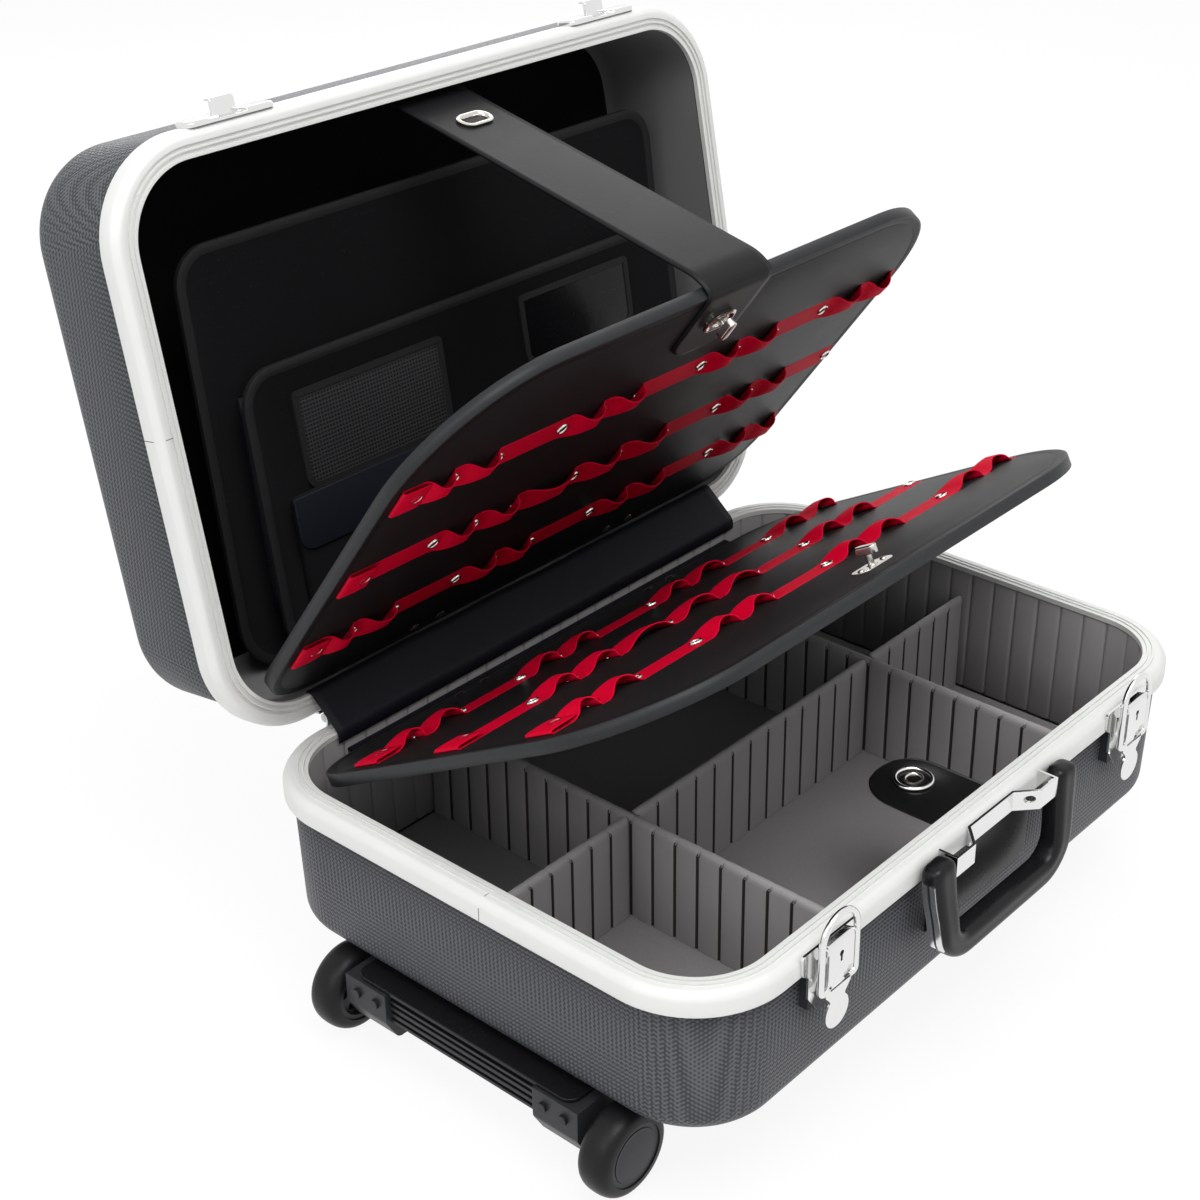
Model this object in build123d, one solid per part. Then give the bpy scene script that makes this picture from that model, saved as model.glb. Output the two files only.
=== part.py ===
from build123d import *
import math
import os

# Wheeled hard case with a hinged lid, modelled open. Millimetres and degrees.
# The pieces are drawn in the closed case first: X runs along the case, the front with its
# latches and handle faces -Y, the hinge is at +Y, and the two halves meet at Z = 0.

# Case halves
INNER_LENGTH = 464.6
INNER_WIDTH = 319.6
INNER_CORNER = 44.0
BASE_DEPTH = 98.4
LID_DEPTH = 94.4
BASE_DRAFT = 2.8
LID_DRAFT = 2.0
BASE_EDGE = 13.0
LID_EDGE = 19.4
SHELL_WALL = 3.0
PART_GAP = 0.6

# Rim extrusions, measured outward from the inner lip
RIM_FACE = 10.2
RIM_WEB = 2.0
LIP_DROP = 3.5
LIP_WALL = 1.2
LEG_IN = 5.0
LEG_WALL = 1.6
LEG_DROP = 10.0
CHANNEL_CLEARANCE = 0.45
BAND_OUT = 15.0
BAND_HEIGHT = 14.4
BAND_WALL = 1.6
BEAD_PLACES = (3.2, 6.4)
BEAD_WIDTH = 1.6
BEAD_HEIGHT = 1.0
GROOVE_DEPTH = 1.3
GROOVE_CLEARANCE = 0.3

# Lining and dividers
SOFT_GAP = 0.3
LINING_WALL = 4.4
FLOOR_PAD = 4.2
DIVIDER_WALL = 7.0
DIVIDER_TOP = -22.0
CROSS_DIVIDER_PLACES = (-112.0, 122.0)
LONG_DIVIDER_PLACE = -5.0

# Lid hinge
LID_OPEN = 100.5
HINGE_OUT = 3.2
HINGE_LENGTH = 360.0
KNUCKLE_COUNT = 9
KNUCKLE_RADIUS = 2.8
HINGE_PIN_RADIUS = 1.2
PIN_CLEARANCE = 0.08
LEAF_WALL = 1.2
LEAF_HEIGHT = 11.5
COVER_LENGTH = 372.0
COVER_WALL = 0.8
COVER_REACH = 17.0
COVER_DROP = 9.0

# Tool boards
BOARD_END_GAP = 7.3
BOARD_FREE_GAP = 17.6
BOARD_WALL = 7.0
BOARD_HINGE_CORNER = 45.0
BOARD_FREE_CORNER = 85.0
BOARD_EDGE = 1.5
UPPER_BOARD_Z = 9.0
UPPER_BOARD_SWING = 46.6
TAB_REACH = 8.55
LOWER_BOARD_Z = -14.0
LOWER_BOARD_SWING = 29.0
BAND_ROWS = (61.0, 137.0, 216.0)
BAND_WIDTH = 22.0
BAND_THICKNESS = 1.0
BAND_START_MARGIN = 8.0
BAND_END_MARGIN = 4.0
SIDE_ROW_LOOPS = (
    (0.030, 0.094), (0.094, 0.169), (0.285, 0.358), (0.358, 0.432),
    (0.559, 0.632), (0.632, 0.717), (0.833, 0.915), (0.915, 0.985),
)
MIDDLE_ROW_LOOPS = (
    (0.153, 0.226), (0.226, 0.304), (0.304, 0.418), (0.418, 0.509), (0.509, 0.605), (0.724, 0.799),
    (0.799, 0.879),
)
LOOP_FOOT = 3.5
LOOP_HEIGHT = 7.8
RIVET_PLACES = (-100.0, -78.0, 78.0, 100.0)
RIVET_RADIUS = 3.6
RIVET_HEIGHT = 1.0

# Turn locks, strap and flap
LOCK_MARGIN = 28.5
LOCK_PLATE_LENGTH = 30.0
LOCK_PLATE_WIDTH = 15.0
LOCK_PLATE_WALL = 1.0
KNOB_BASE_RADIUS = 3.2
KNOB_STEM_RADIUS = 2.2
KNOB_HEAD_LENGTH = 15.0
KNOB_HEAD_WIDTH = 6.0
KNOB_HEAD_HEIGHT = 5.0
KNOB_RISE = 7.5
STRAP_WIDTH = 56.0
STRAP_WALL = 1.5
STRAP_TAIL = 58.0
STRAP_ROOT_Z = 16.0
STRAP_RING_PLACE = 44.0
STRAP_FOLD = 6.0
STRAP_CLEARANCE = 3.0
EYELET_LENGTH = 25.0
EYELET_WIDTH = 15.0
EYELET_WALL = 1.2
SLOT_LENGTH = 18.0
SLOT_WIDTH = 8.0
FLAP_WIDTH = 52.0
FLAP_LENGTH = 60.0
FLAP_Z = -7.0
FLAP_CORNER = 23.0

# Document organizer in the lid
PANEL_WALL = 3.0
BACK_PANEL_LEFT_GAP = 41.3
BACK_PANEL_RIGHT_GAP = 17.3
BACK_PANEL_ROOT_Z = 50.0
BACK_PANEL_TOP_GAP = 52.8
BACK_PANEL_TIP_Z = 34.0
FRONT_PANEL_LEFT_GAP = 62.3
FRONT_PANEL_RIGHT_GAP = 20.3
FRONT_PANEL_ROOT_Z = 32.0
FRONT_PANEL_TOP_GAP = 130.8
FRONT_PANEL_TIP_Z = 26.0
PANEL_CORNER = 24.0
PANEL_ROOT_CORNER = 34.0
FLAP_POCKET_LEFT = -151.0
FLAP_POCKET_RIGHT = -40.0
FLAP_POCKET_TIP_Y = 51.0
FLAP_POCKET_WALL = 6.0

# Latches
LATCH_PLACE = 152.0
LATCH_PLATE_WIDTH = 48.0
LATCH_PLATE_WALL = 1.6
LATCH_PLATE_SHOULDER = 16.0
LATCH_TAIL_WIDTH = 36.0
LATCH_PLATE_BOTTOM = 42.0
EAR_IN = 11.1
EAR_WALL = 1.4
LEVER_HALF = 10.9
LEVER_WALL = 1.2
LEVER_PIVOT_OUT = 6.7
LEVER_PIVOT_Z = -1.0
LEVER_FRONT_OUT = 8.7
LEVER_BOX_BOTTOM = 19.0
LEVER_TIP = 55.0
LEVER_TIP_RADIUS = 10.0
LATCH_PIN_RADIUS = 1.2
BAIL_RADIUS = 1.9
BAIL_SPREAD = 15.0
BAIL_PIVOT_OUT = 6.9
BAIL_PIVOT_Z = -27.0
BAIL_RISE = 17.5
CATCH_WIDTH = 60.0
CATCH_WALL = 3.4
CATCH_BOTTOM = 2.2
CATCH_TOP = 18.0
HOOK_WIDTH = 16.0
HOOK_FLOOR = 12.4
HOOK_LIP = 15.6
HOOK_OUT = 11.8

# Carry handle
BRACKET_HALF = 52.0
BRACKET_SHELF = 35.0
BRACKET_MIDDLE = 22.0
BRACKET_OUT = 12.7
BRACKET_TOP = -1.5
BRACKET_BOTTOM = -14.0
BRACKET_WALL = 1.6
HANDLE_PIVOT_OUT = 8.2
HANDLE_PIVOT_Z = -7.0
HANDLE_TOP_RADIUS = 7.4
HANDLE_TOP_HALF = 74.0
HANDLE_BOTTOM_HALF = 66.0
HANDLE_DEPTH = 70.0
HANDLE_OPENING_BOTTOM = 54.0
HANDLE_OPENING_HALF = 49.0
HANDLE_BAR_IN = 3.5
HANDLE_BAR_OUT = 19.0
HANDLE_CORNER = 28.0
HANDLE_INNER_CORNER = 15.0
HANDLE_EDGE = 3.0
HANDLE_PIN_RADIUS = 2.5
BACKING_WALL = 2.4
BACKING_BOTTOM = 62.0

# Wheels and their carrier
WHEEL_OVERHANG = 2.1
AXLE_DROP = 28.3
WHEEL_RADIUS = 27.0
WHEEL_INNER_FACE = 94.0
WHEEL_WIDTH = 22.0
TYRE_WALL = 8.0
AXLE_RADIUS = 4.0
BLOCK_IN = 57.0
BLOCK_OUT = 90.0
BLOCK_HALF = 17.6
BLOCK_NOSE = 9.0
PLATE_WALL = 2.6
PLATE_HALF_WIDTH = 84.0
PLATE_INSET = 19.3
RAIL_DROP = 4.6
RAIL_HEIGHT = 15.5
RAIL_HALF = 14.0

# Telescopic pull handle and feet
TUBE_PLACE = 73.5
OUTER_TUBE_WIDTH = 21.0
OUTER_TUBE_HEIGHT = 15.0
TUBE_WALL = 1.3
MID_TUBE_WALL = 2.0
TUBE_CLEARANCE = 0.35
OUTER_TUBE_INSET = 26.3
MID_TUBE_INSET = 20.3
TUBE_TAIL = 12.0
GRIP_BAR_INSET = 2.3
GRIP_OVERHANG = 14.2
GRIP_ARM_INSET = 19.3
GRIP_HALF = 84.0
GRIP_CORNER = 9.0
BUTTON_LENGTH = 26.0
BUTTON_HEIGHT = 8.0
BUTTON_STAND = 2.0
BUTTON_DEPTH = 6.0
BUTTON_TRAVEL = 1.6
BUTTON_CLEARANCE = 0.3
FOOT_INSET = 24.3
FOOT_PLACE = 100.0
FOOT_LENGTH = 26.0
FOOT_WIDTH = 22.0
FOOT_TAPER = 2.5

# Places worked out from the sizes above
SHELL_IN = LEG_IN + LEG_WALL + CHANNEL_CLEARANCE
SHELL_OUT = SHELL_IN + SHELL_WALL
BASE_SLOPE = math.degrees(math.atan2(BASE_DRAFT, BASE_DEPTH))
LID_SLOPE = math.degrees(math.atan2(LID_DRAFT, LID_DEPTH))
LINING_OUT = LEG_IN - SOFT_GAP
HALF_LENGTH = INNER_LENGTH / 2
HALF_WIDTH = INNER_WIDTH / 2
LINING_IN = LINING_OUT - LINING_WALL
FRONT_BAND_Y = -(HALF_WIDTH + BAND_OUT)
HINGE_Y = HALF_WIDTH + BAND_OUT + HINGE_OUT
HINGE_Z = PART_GAP
COVER_Y = HALF_WIDTH + LINING_IN - 2.5 * SOFT_GAP - COVER_WALL
UPPER_BOARD_Y = COVER_Y - COVER_WALL / 2 - SOFT_GAP - BOARD_WALL / 2
LOWER_BOARD_Y = COVER_Y - TAB_REACH
BOARD_LENGTH = INNER_LENGTH - 2 * BOARD_END_GAP
BOARD_HEIGHT = INNER_WIDTH - BOARD_FREE_GAP
BAND_START = BAND_START_MARGIN - BOARD_LENGTH / 2
BAND_END = BOARD_LENGTH / 2 - BAND_END_MARGIN
LOCK_PLACE = BOARD_HEIGHT - LOCK_MARGIN
BACK_PANEL_TIP_Y = BACK_PANEL_TOP_GAP - HALF_WIDTH
FRONT_PANEL_TIP_Y = FRONT_PANEL_TOP_GAP - HALF_WIDTH
FLOOR_Z = -(BASE_DEPTH - SHELL_WALL - SOFT_GAP)
FLOOR_TOP = FLOOR_Z + FLOOR_PAD
LEVER_PIVOT_Y = FRONT_BAND_Y - LEVER_PIVOT_OUT
BAIL_PIVOT_Y = FRONT_BAND_Y - BAIL_PIVOT_OUT
HANDLE_PIVOT_Y = FRONT_BAND_Y - HANDLE_PIVOT_OUT
WHEEL_X = -(HALF_LENGTH + WHEEL_OVERHANG)
WHEEL_Z = -(BASE_DEPTH + AXLE_DROP)
FOOT_X = HALF_LENGTH - FOOT_INSET
PLATE_END = HALF_LENGTH - PLATE_INSET
PLATE_TOP = -BASE_DEPTH
PLATE_BOTTOM = PLATE_TOP - PLATE_WALL
TUBE_Z = PLATE_BOTTOM - OUTER_TUBE_HEIGHT / 2
GROUND_Z = WHEEL_Z - WHEEL_RADIUS
TUBE_START = WHEEL_X + BLOCK_HALF
GRIP_ARM_IN = HALF_LENGTH - GRIP_ARM_INSET
GRIP_OUT = HALF_LENGTH + GRIP_OVERHANG
MID_STEP = 2 * (TUBE_WALL + TUBE_CLEARANCE)
INNER_STEP = 2 * (MID_TUBE_WALL + TUBE_CLEARANCE)


def about_x(shape, y, z, angle):
    """Turn a shape about the line along X through (y, z)."""
    return Pos(0, y, z) * Rot(angle, 0, 0) * Pos(0, -y, -z) * shape


def open_lid(shape):
    """Move a piece of the closed lid to the open lid."""
    return about_x(shape, HINGE_Y, HINGE_Z, -LID_OPEN)


def lid_point(y, z):
    """Place of a closed-lid point (y, z) in the open lid."""
    turned = open_lid(Vertex(0, y, z)).center()
    return turned.Y, turned.Z


def lower_board_place(shape):
    """Carry a piece drawn on the flat board to the raised lower board."""
    return Pos(0, LOWER_BOARD_Y, LOWER_BOARD_Z) * Rot(-LOWER_BOARD_SWING, 0, 0) * shape


def upper_board_place(shape):
    """Carry a piece drawn on the flat board, face down, to the swung-out upper board."""
    return open_lid(Pos(0, UPPER_BOARD_Y, UPPER_BOARD_Z) * Rot(UPPER_BOARD_SWING, 0, 0) * shape)


def face_down(shape):
    """Turn a fitting of the board's top face over to its underside, at the same place."""
    return mirror(shape, about=Plane.XY)


def front_plane(y):
    """Drawing plane with X along the case and Z up, at depth y, looking back at the front."""
    return Plane(origin=(0, y, 0), x_dir=(1, 0, 0), z_dir=(0, -1, 0))


def raised(plane, sketch, amount):
    """Sketch laid on a plane and extruded along the plane's normal."""
    return extrude(plane * sketch, amount=amount, dir=plane.z_dir)


def box_between(low, high):
    """Box from its lowest to its highest corner."""
    size = [b - a for a, b in zip(low, high)]
    middle = [(a + b) / 2 for a, b in zip(low, high)]
    return Pos(*middle) * Box(*size)


def side_profile(points, half_width, x=0.0):
    """Closed outline of (y, z) points, extruded along X to both sides of x."""
    plane = Plane(origin=(x, 0, 0), x_dir=(0, 1, 0), z_dir=(1, 0, 0))
    return extrude(plane * make_face(Polyline(*points, close=True)), amount=half_width, both=True)


def rod_x(y, z, radius, start, end):
    """Round rod along X."""
    return Pos((start + end) / 2, y, z) * Rot(0, 90, 0) * Cylinder(radius, end - start)


def rod_y(x, z, radius, start, end):
    """Round rod along Y."""
    return Pos(x, (start + end) / 2, z) * Rot(90, 0, 0) * Cylinder(radius, end - start)


def ribbon(points, radius, width, wall):
    """Flat strip of the given width along X that follows (y, z) points with rounded turns."""
    path = FilletPolyline(*[(0, y, z) for y, z in points], radius=radius)
    start = Plane(origin=path @ 0, x_dir=(1, 0, 0), z_dir=path % 0)
    return sweep(start * Rectangle(width, wall), path=path)


def outline(grow):
    """The case's rounded outline at the inner lip, grown outward."""
    return RectangleRounded(INNER_LENGTH + 2 * grow, INNER_WIDTH + 2 * grow, INNER_CORNER + grow)


def dome(grow, low, high, slope, edge):
    """Solid of the case outline that narrows upward, with its upper edge rounded."""
    solid = extrude(Pos(0, 0, low) * outline(grow), amount=high - low, taper=slope)
    return fillet(solid.faces().sort_by(Axis.Z)[-1].edges(), edge)


def moulded_shell(depth, slope, edge):
    """Half shell with its mouth down at Z = 0: a drafted wall with a rounded crown."""
    mouth = RIM_WEB + CHANNEL_CLEARANCE
    outside = dome(SHELL_OUT, mouth, depth, slope, edge)
    inside = dome(SHELL_IN, mouth, depth - SHELL_WALL, slope, edge - SHELL_WALL)
    return outside - inside


def rim_path():
    """Closed path along the inner lip, from the front end of the +X side."""
    x, y, r = HALF_LENGTH, HALF_WIDTH, INNER_CORNER
    corners = ((x - r, y - r, 0), (r - x, y - r, 90), (r - x, r - y, 180), (x - r, r - y, 270))
    pieces = []
    start = Vector(x, r - y, 0)
    for cx, cy, angle in corners:
        turn = CenterArc((cx, cy, 0), r, angle, 90)
        pieces += [Line(start, turn @ 0), turn]
        start = turn @ 1
    return Wire(pieces)


def rim(bead, clearance):
    """Rim extrusion with its mating face up at Z = 0; a negative bead is a groove."""
    half = BEAD_WIDTH / 2 + clearance
    beads = []
    for place in BEAD_PLACES:
        beads += [(place - half, 0), (place - half, bead), (place + half, bead), (place + half, 0)]
    shoulder = (BAND_OUT - RIM_FACE) * 0.56
    band_in = SHELL_OUT + 0.1
    points = [
        (0, 0),
        *beads,
        (RIM_FACE, 0),
        (RIM_FACE + shoulder, -RIM_WEB * 0.8),
        (BAND_OUT, -RIM_WEB * 2.5),
        (BAND_OUT, 1 - BAND_HEIGHT),
        (BAND_OUT - 1, -BAND_HEIGHT),
        (band_in, -BAND_HEIGHT),
        (band_in, BAND_WALL - BAND_HEIGHT),
        (BAND_OUT - BAND_WALL, BAND_WALL - BAND_HEIGHT),
        (BAND_OUT - BAND_WALL, -RIM_WEB * 2.8),
        (band_in, -RIM_WEB),
        (LEG_IN + LEG_WALL, -RIM_WEB),
        (LEG_IN + LEG_WALL, -LEG_DROP),
        (LEG_IN, -LEG_DROP),
        (LEG_IN, -RIM_WEB),
        (LIP_WALL, -RIM_WEB),
        (LIP_WALL, -LIP_DROP),
        (0, -LIP_DROP),
    ]
    start = Plane(origin=(HALF_LENGTH, INNER_CORNER - HALF_WIDTH, 0), x_dir=(1, 0, 0), z_dir=(0, -1, 0))
    return sweep(start * make_face(Polyline(*points, close=True)), path=rim_path())


def base_half():
    """Shell, rim and lining of the base."""
    shell = mirror(moulded_shell(BASE_DEPTH, BASE_SLOPE, BASE_EDGE), about=Plane.XY)
    low, high = LIP_DROP + SOFT_GAP, -FLOOR_TOP - SOFT_GAP
    outside = extrude(Pos(0, 0, low) * outline(LINING_OUT), amount=high - low, taper=BASE_SLOPE)
    inside = extrude(Pos(0, 0, low) * outline(LINING_IN), amount=high - low, taper=BASE_SLOPE)
    lining = mirror(outside - inside, about=Plane.XY)
    narrow = LINING_IN - (BASE_DRAFT + SOFT_GAP)
    pad = extrude(Pos(0, 0, FLOOR_Z) * outline(narrow), amount=FLOOR_PAD)
    pad = chamfer(pad.faces().sort_by(Axis.Z)[0].edges(), FLOOR_PAD * 0.4)
    return {
        "base_shell": shell,
        "base_rim": rim(BEAD_HEIGHT, 0),
        "base_wall_lining": lining,
        "base_floor_pad": pad,
    }


def lid_half():
    """Shell, rim and lining of the lid, closed."""
    high = LID_DEPTH - SHELL_WALL - SOFT_GAP
    low = LIP_DROP + SOFT_GAP
    outside = dome(LINING_OUT, low, high, LID_SLOPE, LID_EDGE - SHELL_WALL)
    inside = dome(LINING_IN, low, high - LINING_WALL, LID_SLOPE, LID_EDGE - SHELL_WALL - LINING_WALL)
    raise_lid = Pos(0, 0, PART_GAP)
    return {
        "lid_shell": raise_lid * moulded_shell(LID_DEPTH, LID_SLOPE, LID_EDGE),
        "lid_rim": raise_lid * mirror(rim(-GROOVE_DEPTH, GROOVE_CLEARANCE), about=Plane.XY),
        "lid_lining": raise_lid * (outside - inside),
    }


def lining_face(half_size, z):
    """Distance from the middle to the base lining's inner face at height z."""
    slope = math.tan(math.radians(BASE_SLOPE))
    return half_size + LINING_IN - (-z - LIP_DROP - SOFT_GAP) * slope - SOFT_GAP


def dividers():
    """Padded dividers standing on the floor pad, trimmed to the sloping walls."""
    low = FLOOR_TOP + SOFT_GAP
    reach_low = lining_face(HALF_WIDTH, low)
    reach_high = lining_face(HALF_WIDTH, DIVIDER_TOP)
    side = [(-reach_low, low), (reach_low, low), (reach_high, DIVIDER_TOP), (-reach_high, DIVIDER_TOP)]
    cross = [side_profile(side, DIVIDER_WALL / 2, x) for x in CROSS_DIVIDER_PLACES]
    end_low = lining_face(HALF_LENGTH, low)
    end_high = lining_face(HALF_LENGTH, DIVIDER_TOP)
    clear = DIVIDER_WALL / 2 + SOFT_GAP
    left, right = CROSS_DIVIDER_PLACES
    spans = (
        (-end_low, -end_high, left - clear, left - clear),
        (left + clear, left + clear, right - clear, right - clear),
        (right + clear, right + clear, end_low, end_high),
    )
    long = []
    for start_low, start_high, stop_low, stop_high in spans:
        points = [(start_low, low), (stop_low, low), (stop_high, DIVIDER_TOP), (start_high, DIVIDER_TOP)]
        face = front_plane(LONG_DIVIDER_PLACE) * make_face(Polyline(*points, close=True))
        long.append(extrude(face, amount=DIVIDER_WALL / 2, both=True))
    return {"cross_dividers": cross, "long_dividers": long}


def hinge_leaf(first):
    """Lower leaf with every second knuckle; the upper leaf is its mirror image."""
    step = HINGE_LENGTH / KNUCKLE_COUNT
    back = HINGE_Y - HINGE_OUT
    clear_z = HINGE_Z - KNUCKLE_RADIUS - 2 * SOFT_GAP
    leaf = box_between(
        (-HINGE_LENGTH / 2, back, clear_z - LEAF_HEIGHT), (HINGE_LENGTH / 2, back + LEAF_WALL, clear_z)
    )
    for index in range(first, KNUCKLE_COUNT, 2):
        start = -HINGE_LENGTH / 2 + index * step + SOFT_GAP / 2
        end = start + step - SOFT_GAP
        leaf += rod_x(HINGE_Y, HINGE_Z, KNUCKLE_RADIUS, start, end)
        leaf += box_between((start, back, clear_z - 1), (end, back + LEAF_WALL, HINGE_Z))
    return leaf - rod_x(HINGE_Y, HINGE_Z, HINGE_PIN_RADIUS + PIN_CLEARANCE, -HINGE_LENGTH, HINGE_LENGTH)


def lid_hinge():
    """Long butt hinge on the back bands, and the sewn cover strip inside the mouth."""
    upper = mirror(hinge_leaf(1), about=Plane.XY.offset(HINGE_Z))
    cover = ribbon(
        [
            (COVER_Y, -COVER_DROP), (COVER_Y, PART_GAP),
            lid_point(COVER_Y, 0), lid_point(COVER_Y, COVER_REACH),
        ],
        2.0,
        COVER_LENGTH,
        COVER_WALL,
    )
    return {
        "lower_hinge_leaf": hinge_leaf(0),
        "upper_hinge_leaf": open_lid(upper),
        "hinge_pin": rod_x(HINGE_Y, HINGE_Z, HINGE_PIN_RADIUS, -HINGE_LENGTH / 2, HINGE_LENGTH / 2),
        "hinge_cover": cover,
    }


def board():
    """Tool board lying flat, its hinge roll on the X axis and its free edge toward -Y."""
    sheet = Pos(0, -BOARD_HEIGHT / 2) * Rectangle(BOARD_LENGTH, BOARD_HEIGHT)
    sheet = fillet(sheet.vertices().sort_by(Axis.Y)[:2], BOARD_FREE_CORNER)
    sheet = fillet(sheet.vertices().sort_by(Axis.Y)[-2:], BOARD_HINGE_CORNER)
    solid = extrude(sheet, amount=BOARD_WALL / 2, both=True)
    solid = fillet(solid.edges().filter_by(Axis.Z, reverse=True), BOARD_EDGE)
    roll = BOARD_LENGTH / 2 - BOARD_HINGE_CORNER
    return solid + rod_x(0, 0, BOARD_WALL / 2, -roll, roll)


def bow_face(near, far, height):
    """Area under an arc that stands on the X axis."""
    bow = ThreePointArc((near, 0), ((near + far) / 2, height), (far, 0))
    return make_face([bow, Line((far, 0), (near, 0))])


def elastic_row(place, loops):
    """One elastic band held down between open tool loops, on the board's top face."""
    length = BAND_END - BAND_START
    shape = Pos((BAND_START + BAND_END) / 2, BAND_THICKNESS / 2) * Rectangle(length, BAND_THICKNESS)
    for start, end in loops:
        near, far = BAND_START + start * length + LOOP_FOOT, BAND_START + end * length - LOOP_FOOT
        shape += bow_face(near, far, LOOP_HEIGHT)
        shape -= bow_face(near + BAND_THICKNESS, far - BAND_THICKNESS, LOOP_HEIGHT - BAND_THICKNESS)
    row = extrude(front_plane(-place) * shape, amount=BAND_WIDTH / 2, both=True)
    return Pos(0, 0, BOARD_WALL / 2) * row


def board_rivets():
    """Rivet heads along the hinge edge."""
    top = BOARD_WALL / 2
    heads = []
    for x in RIVET_PLACES:
        place = Pos(x, -2.5 * RIVET_RADIUS, top + RIVET_HEIGHT / 2)
        heads.append(place * Cylinder(RIVET_RADIUS, RIVET_HEIGHT))
    return heads


def lock_plate():
    """Oval plate of the turn lock, with the bore that the knob turns in."""
    place = Pos(0, -LOCK_PLACE, BOARD_WALL / 2)
    plate = extrude(place * SlotOverall(LOCK_PLATE_LENGTH, LOCK_PLATE_WIDTH), amount=LOCK_PLATE_WALL)
    return plate - place * Cylinder(KNOB_BASE_RADIUS + PIN_CLEARANCE, 4 * LOCK_PLATE_WALL)


def turn_knob(angle):
    """Turn lock knob: a foot in the plate's bore, a stem and a rounded cross head."""
    foot = extrude(Circle(KNOB_BASE_RADIUS), amount=LOCK_PLATE_WALL + SOFT_GAP)
    stem = extrude(Circle(KNOB_STEM_RADIUS), amount=KNOB_RISE + 1)
    cross = SlotOverall(KNOB_HEAD_LENGTH, KNOB_HEAD_WIDTH)
    head = extrude(Pos(0, 0, KNOB_RISE) * cross, amount=KNOB_HEAD_HEIGHT)
    head = fillet(head.faces().sort_by(Axis.Z)[-1].edges(), 1.0)
    return Pos(0, -LOCK_PLACE, BOARD_WALL / 2) * Rot(0, 0, angle) * (foot + stem + head)


def eyelet():
    """Oval ring with a slot, lying flat on Z = 0."""
    ring = SlotOverall(EYELET_LENGTH, EYELET_WIDTH) - SlotOverall(SLOT_LENGTH, SLOT_WIDTH)
    return extrude(ring, amount=EYELET_WALL)


def tool_boards():
    """Both tool boards with their bands, rivets and turn locks."""
    loops = (SIDE_ROW_LOOPS, MIDDLE_ROW_LOOPS, SIDE_ROW_LOOPS)
    bands = [elastic_row(place, row) for place, row in zip(BAND_ROWS, loops)]
    tab = box_between(
        (-COVER_LENGTH / 2 + BOARD_WALL, LOWER_BOARD_Y + BOARD_WALL / 2 + SOFT_GAP, LOWER_BOARD_Z - 1),
        (COVER_LENGTH / 2 - BOARD_WALL, lining_face(HALF_WIDTH, LOWER_BOARD_Z - 1), LOWER_BOARD_Z + 1),
    )
    return {
        "lower_board": lower_board_place(board()),
        "lower_elastic_bands": [lower_board_place(row) for row in bands],
        "lower_board_rivets": [lower_board_place(head) for head in board_rivets()],
        "lower_lock_plate": lower_board_place(lock_plate()),
        "lower_turn_knob": lower_board_place(turn_knob(90)),
        "lower_board_tab": tab,
        "upper_board": upper_board_place(board()),
        "upper_elastic_bands": [upper_board_place(face_down(row)) for row in bands],
        "upper_board_rivets": [upper_board_place(face_down(head)) for head in board_rivets()],
        "upper_lock_plate": upper_board_place(face_down(lock_plate())),
        "upper_turn_knob": upper_board_place(face_down(turn_knob(90))),
    }


def upper_board_point(place, height):
    """World (y, z) of a point of the upper board: distance from its hinge, height above its face."""
    turned = upper_board_place(Vertex(0, -place, -height)).center()
    return turned.Y, turned.Z


def strap():
    """Lid strap: from the front wall lining over the upper board's free edge to its turn lock."""
    over = STRAP_WALL / 2 + LOCK_PLATE_WALL + SOFT_GAP
    root_y = STRAP_WALL - lid_lining_face(HALF_WIDTH, STRAP_ROOT_Z + STRAP_WALL)
    top = BOARD_WALL / 2
    edge = BOARD_HEIGHT + STRAP_CLEARANCE
    points = [
        lid_point(root_y, PART_GAP + STRAP_ROOT_Z),
        upper_board_point(edge, -top - STRAP_FOLD),
        upper_board_point(edge, top + over),
        upper_board_point(BOARD_HEIGHT - STRAP_TAIL, top + over),
    ]
    body = ribbon(points, 2.2, STRAP_WIDTH, STRAP_WALL)
    slot = extrude(SlotOverall(SLOT_LENGTH, SLOT_WIDTH), amount=20, both=True)
    lock_slot = upper_board_place(Pos(0, -LOCK_PLACE, -top) * slot)
    ring_z = -top - over - STRAP_WALL / 2 - EYELET_WALL
    lock_ring = upper_board_place(Pos(0, -LOCK_PLACE, ring_z) * eyelet())
    run_y, run_z = points[1][0] - points[0][0], points[1][1] - points[0][1]
    share = STRAP_RING_PLACE / math.hypot(run_y, run_z)
    rise = math.degrees(math.atan2(-run_z, -run_y))
    wall_place = Pos(0, points[0][0] + share * run_y, points[0][1] + share * run_z) * Rot(rise, 0, 0)
    wall_ring = wall_place * Pos(0, 0, STRAP_WALL / 2) * eyelet()
    return {"strap": body - lock_slot - wall_place * slot, "strap_eyelets": [wall_ring, lock_ring]}


def closing_flap():
    """Leather flap on the base's front wall, with the ring that takes the lower board's lock."""
    front = -HALF_WIDTH + SOFT_GAP
    ring_y = LOWER_BOARD_Y - LOCK_PLACE
    sheet = Pos(0, front + FLAP_LENGTH / 2) * Rectangle(FLAP_WIDTH, FLAP_LENGTH)
    sheet = fillet(sheet.vertices().sort_by(Axis.Y)[-2:], FLAP_CORNER)
    flap = extrude(Pos(0, 0, FLAP_Z) * sheet, amount=STRAP_WALL)
    slot = Pos(0, ring_y, FLAP_Z) * extrude(SlotOverall(SLOT_LENGTH, SLOT_WIDTH), amount=5, both=True)
    return {"closing_flap": flap - slot, "flap_eyelet": Pos(0, ring_y, FLAP_Z + STRAP_WALL) * eyelet()}


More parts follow.
